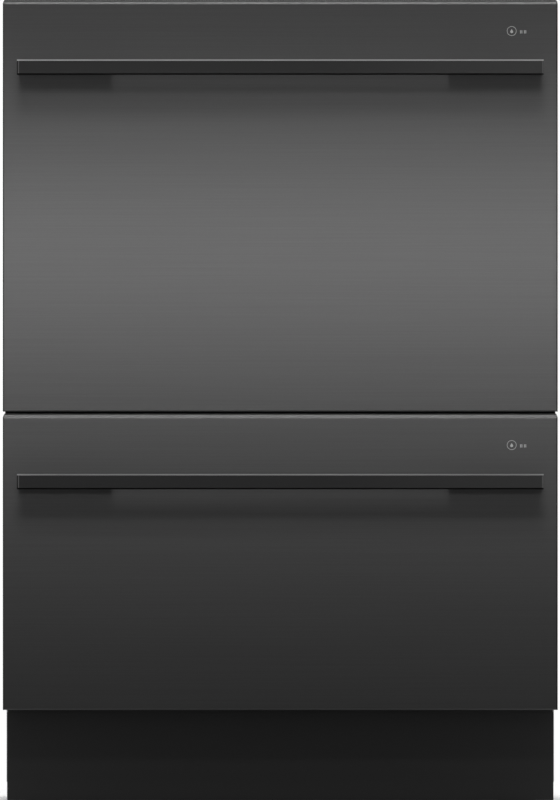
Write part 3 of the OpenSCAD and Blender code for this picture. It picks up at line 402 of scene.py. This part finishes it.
black_steel = finish("brushed_black_stainless", (0.054, 0.054, 0.0541), 0.2, 0.15, grain=(5, 5, 1100),
                     tint=0.14, spread=0.01, pit=0.0000005, detail=4, shine=0)
# Painted highlights on the folds: a glossier steel, dimmer on the lower front, which its lamps light more
bend = {"lower": lit_steel_copy("dim_painted_highlight_steel", 0.034), "upper": lit_steel_copy("painted_highlight_steel", 0.052)}
# A stronger painted highlight for the lower front's top fold, which lies in the upper front's shade, and its
# bottom edge
strong_painted_highlight = lit_steel_copy("strong_painted_highlight", 0.13)
# Painted shade: a near-black steel darkens the fronts' side edges and the handles' lower chamfer and left
# end
edge_shade = finish("painted_edge_shade", (0.006, 0.006, 0.006), 0.5, 0.5, grain=(6, 900, 900), tint=0.06,
                    shine=0)
for d in DRAWERS:
    node = d + "_front_panel"
    low, high = corners(node)
    front = merged_copy(node)
    for share in CORNER_CUT_SHARES:
        cut_across(front, (0, 0, high.z - share * CORNER_CUT_H), (0, 0, 1))
    for side in SIDES:
        cut_across(front, (side * (high.x - SIDE_EDGE_W), 0, 0), (side, 0, 0))
    if d == "lower":
        cut_across(front, (0, 0, low.z + HIGHLIGHT_STRIP_H), (0, 0, 1))
    for v in front.verts:
        above = v.co.z / MM - (high.z - CORNER_CUT_H)
        if abs(v.co.x) / MM > high.x - 0.1 and v.co.y / MM < low.y + 0.1:
            v.co.y += SIDE_EDGE_BACK * MM
        if above > 0 and abs(v.co.x) / MM > high.x - CORNER_CUT_REACH:
            cut_back = CORNER_CUT_W * MM * (above / CORNER_CUT_H) ** CORNER_CUT_CURVE
            v.co.x -= math.copysign(cut_back, v.co.x)
    front.normal_update()
    for face in front.faces:
        place, out = face.calc_center_median() / MM, face.normal
        face.material_index = SHEET_FACE
        # The side edges of the face take painted shade
        if out.y < -0.1 and abs(place.x) > high.x - SIDE_EDGE_W and place.z < high.z - CORNER_CUT_H:
            face.material_index = SIDE_EDGE
        # The lower front's top fold and bottom edge take the stronger painted highlight
        elif d == "lower" and out.y < -0.1 and (out.z > 0.5 or place.z < low.z + HIGHLIGHT_STRIP_H):
            face.material_index = HIGHLIGHT_STRIP
        # The other folds take a painted highlight
        elif 0.2 < abs(out.z) < 0.98 and out.y < 0:
            face.material_index = FOLD
    put(front, node + "_sheet", node, black_steel, bend[d], edge_shade, strong_painted_highlight, stands_for=[node])

# ---- Status marks ----
# A ring with a drop in it and two small marks beside it are printed in grey ink on the
# upper right corner of each front, over the lamps that show through the steel.

grey_ink = finish("grey_ink", (0.3, 0.3, 0.3), 0.5, grain=(2000, 2000, 2000), tint=0.05)
MARK_X = 249
MARK_DROP = 34
INK_T = 0.12
INK_LAP = 0.1
MARK_RING = [(4.65, -INK_LAP), (5.15, -INK_LAP), (5.15, INK_T), (4.65, INK_T)]
DROP_R = 1.6
DROP_LOW = 0.6
DROP_STRETCH = 1.7
STROKES_X = (9.1, 10.6, 13.3, 14.8)
STROKES_Z = (-2.6, 0.8)
STROKE_W = 0.8
for d in DRAWERS:
    low, high = corners(d + "_front_panel")
    place = (MARK_X, low.y, high.z - MARK_DROP)
    marks = bmesh.new()
    turned(marks, MARK_RING, place, (0, -1, 0), 40, closed=True)
    turn = Matrix.Rotation(math.pi / 2, 4, "X")
    drop = bmesh.ops.create_cone(marks, cap_ends=True, segments=32, radius1=DROP_R * MM, radius2=DROP_R * MM,
                                 depth=(INK_T + INK_LAP) * MM, matrix=turn)["verts"]
    for v in drop:
        if v.co.z > 0:
            v.co.x *= max(0.02, 1 - v.co.z / (DROP_R * MM)) ** 0.6
            v.co.z *= DROP_STRETCH
    bmesh.ops.translate(marks, verts=drop, vec=(Vector(place) - Vector((0, 0, DROP_LOW))) * MM)
    for x in STROKES_X:
        block(marks, (MARK_X + x, low.y - INK_T, place[2] + STROKES_Z[0]),
              (MARK_X + x + STROKE_W, low.y + INK_LAP, place[2] + STROKES_Z[1]))
    close(marks)
    put(marks, d + "_status_marks", d + "_front_panel", grey_ink)

# ---- Handles ----
# A full-width bar of the same dark steel stands on two long feet. The edges of its face are
# chamfered. A painted highlight lies on the upper chamfer and on a fine line near each end,
# and painted shade on the lower chamfer and the left end's outer strip. The bar's colour is
# painted lighter towards its right end, as if lit from that side.

BAR_EDGE_R = 0.25
# Faces of the bar: its satin, a painted highlight on the upper chamfer, painted shade, and painted highlight
# lines at the ends
SATIN, PAINTED_HIGHLIGHT, PAINTED_SHADE, END_HIGHLIGHT = range(4)
END_HIGHLIGHTS = {-1: (1.1, 2.2), 1: (0.2, 1.5)}
# Painted light: the bar's colour ramps to this lighter tone towards its right end, over this span of x in
# millimetres
RIGHT_END_LIT_TONE = (0.0235, 0.0235, 0.0235, 1)
LIT_RAMP_X = (50, 260)
dark_steel = finish("dark_satin_steel", (0.0175, 0.0175, 0.0176), 0.5, 0.5, grain=(6, 900, 900), tint=0.06,
                    spread=0.03, pit=0.000002, shine=0)
# Painted highlight: a bright steel for the upper chamfer
chamfer_highlight = finish("painted_chamfer_highlight", (0.2, 0.2, 0.2), 0.3, 0.9, grain=(6, 900, 900), tint=0.05,
                       pit=0.000001)
steel, wires = dark_steel.node_tree.nodes, dark_steel.node_tree.links
plain_tone = next(n for n in steel if n.type == "MIX")
# A ramp along x paints the bar lighter towards its right end
across = steel.new("ShaderNodeSeparateXYZ")
reach = steel.new("ShaderNodeMapRange")
reach.inputs["From Min"].default_value = LIT_RAMP_X[0] * MM
reach.inputs["From Max"].default_value = LIT_RAMP_X[1] * MM
tone = steel.new("ShaderNodeMix")
tone.data_type = "RGBA"
tone.inputs[MIX_B].default_value = RIGHT_END_LIT_TONE
wires.new(steel["Texture Coordinate"].outputs["Object"], across.inputs[0])
wires.new(across.outputs["X"], reach.inputs["Value"])
wires.new(reach.outputs["Result"], tone.inputs[0])
wires.new(plain_tone.outputs[MIXED], tone.inputs[MIX_A])
wires.new(tone.outputs[MIXED], steel["Principled BSDF"].inputs["Base Color"])
for d in DRAWERS:
    node = d + "_handle"
    bar = merged_copy(node)
    bar_y = corners(node)[0].y
    bar_x = corners(node)[1].x
    round_off(bar, sharp_edges(bar), BAR_EDGE_R)
    for side, line in END_HIGHLIGHTS.items():
        for inset in line:
            cut_across(bar, (side * (bar_x - inset), 0, 0), (side, 0, 0))
    for face in bar.faces:
        place, out = face.calc_center_median() / MM, face.normal
        inset = bar_x - abs(place.x)
        line_from, line_to = END_HIGHLIGHTS[-1 if place.x < 0 else 1]
        # The upper chamfer and the end lines take painted highlights; the lower chamfer and the left end's
        # outer strip take painted shade
        if place.y < bar_y + 2 and out.y < -0.3:
            face.material_index = PAINTED_HIGHLIGHT if out.z > 0.3 else PAINTED_SHADE if out.z < -0.3 else SATIN
            if abs(out.z) < 0.3 and inset < line_to:
                face.material_index = END_HIGHLIGHT if inset > line_from else PAINTED_SHADE
    put(bar, node + "_bar", node, dark_steel, chamfer_highlight, edge_shade, bend["upper"], stands_for=[node])

# ---- Liners and control units ----
# A grey moulding closes each front from behind. The control unit is a black box behind the
# front's top edge, with a glass touch strip in its top: a row of marks and a line of lamps.

grey_moulding = finish("grey_polypropylene", (0.56, 0.57, 0.58), 0.36, grain=(500, 500, 500), tint=0.03)
gloss_black = finish("gloss_black_strip", (0.012, 0.012, 0.013), 0.12, grain=(200, 200, 200), tint=0.1,
                     spread=0.03, pit=0.000002)
pale_ink = finish("pale_ink", (0.6, 0.62, 0.62), 0.5, grain=(2000, 2000, 2000), tint=0.05)
STRIP_X = 128
STRIP_INSET = 7
KEYS_X = (-105, -75, -45, 45, 75, 105)
LAMPS_X = range(-24, 25, 8)
KEY_LOW, KEY_TOP = -0.6, -0.18
KEY_RING = [(3.2, KEY_LOW), (3.9, KEY_LOW), (3.9, KEY_TOP), (3.2, KEY_TOP)]
for d in DRAWERS:
    soften(d + "_front_liner", 0.8, grey_moulding)
    soften(d + "_control_unit", 1.2, black_moulding)
    low, high = corners(d + "_control_unit")
    strip = bmesh.new()
    block(strip, (-STRIP_X, low.y + STRIP_INSET, high.z - 1.4),
          (STRIP_X, high.y - STRIP_INSET, high.z - 0.3), 0.4)
    put(strip, d + "_touch_strip", d + "_control_unit", gloss_black)
    keys = bmesh.new()
    y = (low.y + high.y) / 2
    for x in KEYS_X:
        turned(keys, KEY_RING, (x, y, high.z), (0, 0, 1), 24, closed=True)
        block(keys, (x - 0.5, y - 1, high.z + KEY_LOW), (x + 0.5, y + 1, high.z + KEY_TOP))
    for x in LAMPS_X:
        block(keys, (x - 2, y - 0.6, high.z + KEY_LOW), (x + 2, y + 0.6, high.z + KEY_TOP))
    close(keys)
    put(keys, d + "_touch_marks", d + "_control_unit", pale_ink)

# ---- Tubs ----
# One deep moulding in grey polypropylene, open at the top and round at the corners. Ribs
# outside stiffen its back wall, and its floor meets the walls in a wide curve.

TUB_EDGE_R = 0.8
TUB_FLOOR_T = 3
FLOOR_CURVE = 11
SUMP_Y = 29
SUMP_REACH = (200, 180)
RIB_T = 2.4
RIBS_X = range(-225, 226, 75)
CROSS_RIB_X = 240
CROSS_RIB_Z = 110


def meets_wall(edge, floor_z):
    """Whether an edge is one where the floor meets a wall, and not one of the sump's opening"""
    return all(abs(v.co.z / MM - floor_z) < 0.2 and
               (abs(v.co.x / MM) > SUMP_REACH[0] or abs(v.co.y / MM - SUMP_Y) > SUMP_REACH[1])
               for v in edge.verts)


for d in DRAWERS:
    node = d + "_tub"
    low, high = corners(node)
    tub = merged_copy(node)
    for curved, angle, width, segments in ((False, 35, TUB_EDGE_R, 2), (True, 60, FLOOR_CURVE, 5)):
        edges = [e for e in sharp_edges(tub, angle) if meets_wall(e, low.z + TUB_FLOOR_T) == curved]
        round_off(tub, edges, width, segments)
    put(tub, node + "_moulding", node, grey_moulding, stands_for=[node])
    ribs = bmesh.new()
    for x in RIBS_X:
        block(ribs, (x - RIB_T / 2, high.y - 7.2, low.z + 30),
              (x + RIB_T / 2, high.y - 2, high.z - 2.5), 0.5)
    block(ribs, (-CROSS_RIB_X, high.y - 7.2, low.z + CROSS_RIB_Z),
          (CROSS_RIB_X, high.y - 3.5, low.z + CROSS_RIB_Z + RIB_T), 0.5)
    put(ribs, node + "_ribs", node, grey_moulding)

# ---- Lids and their seals ----
# The lid is a shallow white pan whose ribs show from below. A hollow rubber seal under its
# edge presses on the tub's rim, and a hanger on each side goes down to its motor.

grey_rubber = finish("grey_seal_rubber", (0.1, 0.1, 0.105), 0.6, grain=(600, 600, 600), tint=0.1)
LID_RIB_T = 2
LID_RIB_TOP = 12.8
LID_RIBS_X = range(-240, 241, 60)
LID_RIBS_Y = range(-170, 251, 60)
for d in DRAWERS:
    soften(d + "_lid", 0.8, white_moulding)
    soften(d + "_lid_seal", 1.2, grey_rubber, 3)
    seal_top = corners(d + "_lid_seal")[1].z
    ribs = bmesh.new()
    for x in LID_RIBS_X:
        block(ribs, (x - LID_RIB_T / 2, -196, seal_top + 4),
              (x + LID_RIB_T / 2, 254, seal_top + LID_RIB_TOP), 0.4)
    for y in LID_RIBS_Y:
        block(ribs, (-268, y - LID_RIB_T / 2, seal_top + 5),
              (268, y + LID_RIB_T / 2, seal_top + LID_RIB_TOP), 0.4)
    put(ribs, d + "_lid_ribs", d + "_lid", white_moulding)

# ---- Dispensers ----
# A grey moulding in the tub's front wall holds the detergent cup with its sliding door and,
# beside it, the rinse-aid tank with a blue quarter-turn cap.

dispenser_grey = finish("dispenser_moulding", (0.4, 0.41, 0.42), 0.4, grain=(600, 600, 600), tint=0.04)
blue_moulding = finish("blue_moulding", (0.09, 0.2, 0.36), 0.4, grain=(600, 600, 600), tint=0.06)
GRIP_RIBS = (-2, -1, 1, 2)
GRIP_PITCH = 9
for d in DRAWERS:
    soften(d + "_dispenser", 0.5, dispenser_grey)
    soften(d + "_detergent_door", 0.5, dispenser_grey)
    low, high = corners(d + "_detergent_door")
    face_y = high.y - 3
    grip = bmesh.new()
    for i in GRIP_RIBS:
        x = (low.x + high.x) / 2 + i * GRIP_PITCH
        block(grip, (x - 0.8, face_y - 0.5, low.z + 12), (x + 0.8, face_y + 0.9, high.z - 12), 0.5)
    put(grip, d + "_detergent_door_ribs", d + "_detergent_door", dispenser_grey)
    soften(d + "_rinse_aid_cap", 0.5, blue_moulding)

# ---- Sump, pump and filters ----
# The sump hangs under the tub's floor with the pump in its middle. A slotted stainless plate
# covers it, and a blue fine filter drops through the plate and locks with a quarter turn.

pump_grey = finish("glass_filled_polypropylene", (0.2, 0.2, 0.21), 0.5, grain=(800, 800, 800), tint=0.15)
satin_stainless = finish("satin_stainless", (0.56, 0.56, 0.56), 0.3, 0.95, grain=(400, 400, 30), tint=0.06)
for d in DRAWERS:
    soften(d + "_sump_housing", 0.5, pump_grey)
    soften(d + "_pump_rotor", 0.4, pump_grey)
    soften(d + "_filter_plate", 0.3, satin_stainless)
    soften(d + "_drain_filter", 0.4, blue_moulding)

# ---- Spray arms ----
# Two blades moulded in one with the hub, wide at the root and narrow at the tips. Water
# leaves by the holes along them, and its push turns the arm on the hub of the filter plate.

arm_grey = finish("spray_arm_moulding", (0.5, 0.51, 0.52), 0.38, grain=(600, 600, 600), tint=0.04)
BLADE_EDGE_R = 3
for d in DRAWERS:
    node = d + "_spray_arm"
    arm = merged_copy(node)
    upper_edges = [e for e in sharp_edges(arm) if e.calc_length() > 1 * MM and
                   any(f.normal.z > 0.9 for f in e.link_faces)]
    round_off(arm, upper_edges, BLADE_EDGE_R, 4)
    put(arm, node + "_moulding", node, arm_grey, stands_for=[node])

# ---- Racks ----
# Welded steel wire in a grey nylon coat. Each wire runs down one side, across the base and
# up the other side, tied together by a rim, two hoops and the bars that carry the tines.

nylon_coat = finish("nylon_coated_wire", (0.33, 0.34, 0.36), 0.35, grain=(900, 900, 900), tint=0.05)
WIRE_R = 1.9
HEAVY_WIRE_R = 2
HOOP_R = 1.6
BEND = 9
RACK_GAPS = 8
RACK_MARGIN = 4
RACK_RISE = 46
HOOP_SHARES = (0.33, 0.66)
RACK_FEET_Y = 190
RACK_FOOT = [(0, 0.4), (2, 0.4), (2, 6), (1.9, 9), (0, 9)]
TINES = 13
TINE_PITCH = 30
FIXED_TINES_X = (-165, 55)
TINE_BAR_RISE = 4.3
TINE_TOP_RISE = 68


def rod(bm, start, end, radius=WIRE_R, sides=8, tip=False):
    """A straight wire between two points, its far end domed if it is a tip"""
    start, end = Vector(start) * MM, Vector(end) * MM
    run = end - start
    turn = run.to_track_quat("Z", "Y").to_matrix().to_4x4()
    made = bmesh.ops.create_cone(bm, cap_ends=True, segments=sides, radius1=radius * MM, radius2=radius * MM,
                                 depth=run.length, matrix=Matrix.Translation((start + end) / 2) @ turn)
    if tip:
        at_end = {v for v in made["verts"] if (v.co - end).length < 2 * radius * MM}
        rim = [e for v in made["verts"] for e in v.link_edges if at_end.issuperset(e.verts)]
        round_off(bm, list(set(rim)), radius * 0.8, 2)


def bent_wire(bm, path, radius=WIRE_R, bend=BEND, sides=8):
    """A wire along a path with round bends, drawn out from its first end"""
    points = [Vector(p) * MM for p in path]
    run = points[1] - points[0]
    turn = run.to_track_quat("Z", "Y").to_matrix().to_4x4()
    ring = bmesh.ops.create_circle(bm, cap_ends=True, radius=radius * MM, segments=sides,
                                   matrix=Matrix.Translation(points[0]) @ turn)
    end = ring["verts"][0].link_faces[0]
    here = points[0]
    for i in range(1, len(points)):
        into = (points[i] - points[i - 1]).normalized()
        stop = points[i]
        if i < len(points) - 1:
            out = (points[i + 1] - points[i]).normalized()
            angle = into.angle(out)
            back = bend * MM * math.tan(angle / 2)
            stop = points[i] - into * back
        grown = bmesh.ops.extrude_face_region(bm, geom=[end])["geom"]
        end = next(g for g in grown if isinstance(g, bmesh.types.BMFace))
        bmesh.ops.translate(bm, verts=list(end.verts), vec=stop - here)
        here = stop
        if i < len(points) - 1:
            axis = into.cross(out).normalized()
            centre = stop + axis.cross(into) * bend * MM
            spun = bmesh.ops.spin(bm, geom=[end], cent=centre, axis=axis, angle=angle, steps=4)["geom_last"]
            end = next(g for g in spun if isinstance(g, bmesh.types.BMFace))
            here = points[i] + out * back


def hoop(bm, low, high, z, radius=WIRE_R, bend=BEND):
    """A closed ring of wire round a rack"""
    path = [(0, low.y), (high.x, low.y), (high.x, high.y), (low.x, high.y), (low.x, low.y), (0.01, low.y)]
    bent_wire(bm, [(x, y, z) for x, y in path], radius, bend)


def tine_row(bm, x, bar_z, top):
    """A bar with tines standing on it"""
    middle = (corners("lower_rack")[0].y + corners("lower_rack")[1].y) / 2
    start = middle - TINES * TINE_PITCH / 2
    rod(bm, (x, start, bar_z), (x, start + TINES * TINE_PITCH, bar_z), HEAVY_WIRE_R)
    for i in range(TINES):
        y = start + (i + 0.5) * TINE_PITCH
        rod(bm, (x, y, bar_z), (x, y, top), WIRE_R, 8, tip=True)


for d in DRAWERS:
    node = d + "_rack"
    low, high = corners(node)
    floor_z = corners(d + "_tub")[0].z + TUB_FLOOR_T
    base_z = floor_z + RACK_RISE
    rim_z = high.z - HEAVY_WIRE_R
    x1, y0, y1 = high.x - HEAVY_WIRE_R, low.y + HEAVY_WIRE_R, high.y - HEAVY_WIRE_R
    rack = bmesh.new()
    for i in range(1, RACK_GAPS):
        y = low.y + RACK_MARGIN + i * (high.y - low.y - 2 * RACK_MARGIN) / RACK_GAPS
        bent_wire(rack, [(-x1, y, rim_z), (-x1, y, base_z), (x1, y, base_z), (x1, y, rim_z)])
        x = -x1 + i * 2 * x1 / RACK_GAPS
        bent_wire(rack, [(x, y0, rim_z), (x, y0, base_z), (x, y1, base_z), (x, y1, rim_z)])
    for share in HOOP_SHARES:
        hoop(rack, Vector((-x1, y0, 0)), Vector((x1, y1, 0)), base_z + share * (high.z - base_z), HOOP_R)
    hoop(rack, Vector((-x1, y0, 0)), Vector((x1, y1, 0)), rim_z, HEAVY_WIRE_R)
    middle = (low.y + high.y) / 2
    for side in SIDES:
        for y in (middle - RACK_FEET_Y, middle + RACK_FEET_Y):
            rod(rack, (side * x1, y, base_z), (side * x1, y, floor_z + 2))
            turned(rack, RACK_FOOT, (side * x1, y, floor_z), (0, 0, 1), 12)
    for x in FIXED_TINES_X:
        tine_row(rack, x, base_z + TINE_BAR_RISE, base_z + TINE_TOP_RISE)
    close(rack)
    put(rack, node + "_wires", node, nylon_coat, stands_for=[node])

# ---- Folding tines ----
# The middle row of tines is welded to a round bar that turns in clips on the rack's base,
# so that it folds down flat for pans. The clips are blue, to show what moves.

FOLDING_TINES_X = -55
TINE_CLIP = [(2.1, -4), (3.6, -4), (3.6, 4), (2.1, 4)]
TINE_CLIP_HALF_W = 3
for d in DRAWERS:
    node = d + "_folding_tines"
    low, high = corners(node)
    bar_z = low.z + HEAVY_WIRE_R
    row = bmesh.new()
    tine_row(row, FOLDING_TINES_X, bar_z, high.z)
    close(row)
    put(row, node + "_wires", node, nylon_coat, stands_for=[node])
    clips = bmesh.new()
    for y in (low.y + 12, (low.y + high.y) / 2 + 15, high.y - 12):
        turned(clips, TINE_CLIP, (FOLDING_TINES_X, y, bar_z), (0, 1, 0), 20, closed=True)
        block(clips, (FOLDING_TINES_X - TINE_CLIP_HALF_W, y - 4, low.z - 4.2),
              (FOLDING_TINES_X + TINE_CLIP_HALF_W, y + 4, low.z + 0.2), 0.6)
    close(clips)
    put(clips, d + "_tine_clips", d + "_rack", blue_moulding)

# ---- Cup shelves ----
# A wire shelf on the left side of the rack that folds up out of the way. Its frame is one
# bent wire with cross wires welded on, and it turns in two blue clips on the side.

SHELF_BEND = 12
SHELF_GAPS = 7
CROSS_WIRE_R = 1.5
SHELF_CLIP = [(2.1, -5), (3.4, -5), (3.4, 5), (2.1, 5)]
for d in DRAWERS:
    node = d + "_cup_shelf"
    low, high = corners(node)
    z = (low.z + high.z) / 2
    x0, x1 = low.x + HEAVY_WIRE_R, high.x - HEAVY_WIRE_R
    y0, y1 = low.y + HEAVY_WIRE_R, high.y - HEAVY_WIRE_R
    frame_y0, frame_y1 = y0 + 2, y1 - 2
    shelf = bmesh.new()
    rod(shelf, (x0, low.y, z), (x0, high.y, z), HEAVY_WIRE_R)
    bent_wire(shelf, [(x0, frame_y0, z), (x1, frame_y0, z), (x1, frame_y1, z), (x0, frame_y1, z)],
              WIRE_R, SHELF_BEND)
    for i in range(1, SHELF_GAPS):
        y = y0 + i * (y1 - y0) / SHELF_GAPS
        rod(shelf, (x0, y, z), (x1, y, z), CROSS_WIRE_R)
    rod(shelf, ((x0 + x1) / 2, frame_y0, z), ((x0 + x1) / 2, frame_y1, z), CROSS_WIRE_R)
    close(shelf)
    put(shelf, node + "_wires", node, nylon_coat, stands_for=[node])
    clips = bmesh.new()
    for y in (y0 + 20, y1 - 20):
        turned(clips, SHELF_CLIP, (x0, y, z), (0, 1, 0), 20, closed=True)
    close(clips)
    put(clips, d + "_shelf_clips", d + "_rack", blue_moulding)

# ---- Cutlery baskets ----
# Moulded in dark grey, with slotted walls between a solid rim and a solid skirt, three
# partitions and a grid for a floor. The carrying handle spans it from end to end.

basket_grey = finish("basket_moulding", (0.22, 0.23, 0.245), 0.42, grain=(700, 700, 700), tint=0.06)
CELLS = 4
BASKET_WALL = 2.5
BASKET_H = 66
SKIRT_H = 10
RIM_H = 9
SIDE_BAND_Z = (34, 37)
END_GAPS, SIDE_GAPS = 9, 24
FLOOR_GAPS_X, FLOOR_GAPS_Y = 12, 28
CARRY_HANDLE_W = 8
for d in DRAWERS:
    node = d + "_cutlery_basket"
    low, high = corners(node)
    wall = BASKET_WALL
    top = low.z + BASKET_H
    skirt, rim = (low.z, low.z + SKIRT_H), (top - RIM_H, top)
    bar_z0, bar_z1 = skirt[1] - 1, rim[0] + 1
    basket = bmesh.new()
    for y in (low.y, high.y - wall):
        for band in (skirt, rim):
            block(basket, (low.x, y, band[0]), (high.x, y + wall, band[1]), 0.5)
        for i in range(END_GAPS + 1):
            x = low.x + i * (high.x - low.x - wall) / END_GAPS
            block(basket, (x, y, bar_z0), (x + wall, y + wall, bar_z1), 0.4)
    for x in (low.x, high.x - wall):
        for band in (skirt, (low.z + SIDE_BAND_Z[0], low.z + SIDE_BAND_Z[1]), rim):
            block(basket, (x, low.y, band[0]), (x + wall, high.y, band[1]), 0.5)
        for i in range(1, SIDE_GAPS):
            y = low.y + i * (high.y - low.y - wall) / SIDE_GAPS
            block(basket, (x, y, bar_z0), (x + wall, y + wall, bar_z1), 0.4)
    cell = (high.y - low.y - wall) / CELLS
    for i in range(1, CELLS):
        y = low.y + i * cell
        block(basket, (low.x + 1, y, low.z), (high.x - 1, y + wall, top - 1), 0.5)
    for i in range(1, FLOOR_GAPS_X):
        x = low.x + i * (high.x - low.x) / FLOOR_GAPS_X
        block(basket, (x - 0.9, low.y + 1, low.z + 0.1), (x + 0.9, high.y - 1, low.z + 2), 0.3)
    for i in range(1, FLOOR_GAPS_Y):
        y = low.y + i * (high.y - low.y) / FLOOR_GAPS_Y
        block(basket, (low.x + 1, y - 0.9, low.z + 0.3), (high.x - 1, y + 0.9, low.z + 2.2), 0.3)
    x0, x1 = (low.x + high.x - CARRY_HANDLE_W) / 2, (low.x + high.x + CARRY_HANDLE_W) / 2
    for y in (low.y, high.y - wall):
        block(basket, (x0, y, top - 12), (x1, y + wall, high.z - 1), 0.8)
    block(basket, (x0, low.y, high.z - 4), (x1, high.y, high.z), 1.5, 3)
    put(basket, node + "_moulding", node, basket_grey, stands_for=[node])

# ---- Studio ----
# A pale floor and a white room. Three narrow lamps in front of the machine, one above the
# other, give the soft bands across the brushed fronts and the handles' shadows, and three
# wide ones light its sides and its back.

FACE_Y = corners("upper_front_panel")[0].y * MM
FLOOR_R = 6
FADE_FROM, FADE_TO = 0.45, 1.15
ROOM_LIGHT = 0.2


def lamp(name, place, aim, width, height, power, spread=180):
    """A flat lamp of a size in metres and a power in watts, unseen by the camera"""
    light = bpy.data.lights.new(name, "AREA")
    light.shape = "RECTANGLE"
    light.size, light.size_y, light.energy = width, height, power
    light.spread = math.radians(spread)
    lit = bpy.data.objects.new(name, light)
    bpy.context.scene.collection.objects.link(lit)
    lit.location = place
    lit.rotation_euler = (Vector(aim) - Vector(place)).to_track_quat("-Z", "Y").to_euler()
    lit.visible_camera = False


lamp("front_strip", (0, -2.518, 0.661), (0, FACE_Y, 0.467), 1.8, 0.133, 0.347, 18.2)
lamp("middle_front", (0, -1.269, 1.203), (0, FACE_Y, 0.576), 2.6, 0.221, 2.92, 35.5)
lamp("upper_front", (0, -1.076, 1.738), (0, FACE_Y, 0.821), 2.6, 0.621, 3, 20.5)
lamp("left_fill", (-3.2, 0.8, 1.4), (0, 0.1, 0.45), 3, 2.4, 48)
lamp("right_fill", (3.2, 1, 1.4), (0, 0.1, 0.45), 3, 2.4, 48)
lamp("back_fill", (0.6, 3.2, 1.5), (0, 0, 0.45), 3, 2.4, 56)

floor = bmesh.new()
bmesh.ops.create_circle(floor, cap_ends=True, segments=96, radius=FLOOR_R)
floor_mesh = bpy.data.meshes.new("studio_floor")
floor.to_mesh(floor_mesh)
floor.free()
pale_floor = finish("pale_floor", (0.8, 0.8, 0.8), 0.8, grain=(4, 4, 4), tint=0.01)
floor_mesh.materials.append(pale_floor)
studio_floor = bpy.data.objects.new("studio_floor", floor_mesh)
bpy.context.scene.collection.objects.link(studio_floor)


def sees_white(nodes, links):
    """1 for the rays of the camera, gloss and glass, which see the white room, and 0 for the rest"""
    ray = nodes.new("ShaderNodeLightPath")
    total = ray.outputs["Is Camera Ray"]
    for kind in ("Is Glossy Ray", "Is Transmission Ray"):
        either = nodes.new("ShaderNodeMath")
        either.operation = "MAXIMUM"
        links.new(total, either.inputs[0])
        links.new(ray.outputs[kind], either.inputs[1])
        total = either.outputs[0]
    return total


tree, wires = pale_floor.node_tree.nodes, pale_floor.node_tree.links
away = tree.new("ShaderNodeVectorMath")
away.operation = "LENGTH"
fade = tree.new("ShaderNodeMapRange")
fade.interpolation_type = "SMOOTHSTEP"
fade.inputs["From Min"].default_value = FADE_FROM
fade.inputs["From Max"].default_value = FADE_TO
shown = tree.new("ShaderNodeMath")
shown.operation = "MULTIPLY"
white_light = tree.new("ShaderNodeEmission")
ground = tree.new("ShaderNodeMixShader")
wires.new(tree["Texture Coordinate"].outputs["Object"], away.inputs[0])
wires.new(away.outputs["Value"], fade.inputs["Value"])
wires.new(fade.outputs["Result"], shown.inputs[0])
wires.new(sees_white(tree, wires), shown.inputs[1])
wires.new(shown.outputs[0], ground.inputs[0])
wires.new(tree["Principled BSDF"].outputs[0], ground.inputs[1])
wires.new(white_light.outputs[0], ground.inputs[2])
wires.new(ground.outputs[0], tree["Material Output"].inputs["Surface"])

world = bpy.data.worlds.new("white_room")
bpy.context.scene.world = world
world.use_nodes = True
sky, wires = world.node_tree.nodes, world.node_tree.links
plain = sky["Background"]
plain.inputs["Strength"].default_value = ROOM_LIGHT
plain.inputs["Color"].default_value = (1, 1, 1, 1)
white = sky.new("ShaderNodeBackground")
white.inputs["Color"].default_value = (1, 1, 1, 1)
room = sky.new("ShaderNodeMixShader")
wires.new(sees_white(sky, wires), room.inputs[0])
wires.new(plain.outputs[0], room.inputs[1])
wires.new(white.outputs[0], room.inputs[2])
wires.new(room.outputs[0], sky["World Output"].inputs["Surface"])

# ---- Camera ----
# Level and square on, a little above half the height of the view, and so far off that the
# machine is seen without perspective: the frame holds 0.8608 m of height at the fronts' face.

VIEW_HEIGHT = 0.8608
VIEW_X = -0.0003
VIEW_Z = 0.4335
DISTANCE = 30
camera_data = bpy.data.cameras.new("camera")
camera_data.sensor_fit = "VERTICAL"
camera_data.sensor_height = 24
camera_data.lens = camera_data.sensor_height * DISTANCE / VIEW_HEIGHT
camera_data.clip_end = 100
camera = bpy.data.objects.new("camera", camera_data)
bpy.context.scene.collection.objects.link(camera)
camera.location = (VIEW_X, FACE_Y - DISTANCE, VIEW_Z)
camera.rotation_euler = (math.pi / 2, 0, 0)
bpy.context.scene.camera = camera

bpy.context.scene.view_settings.view_transform = "Standard"
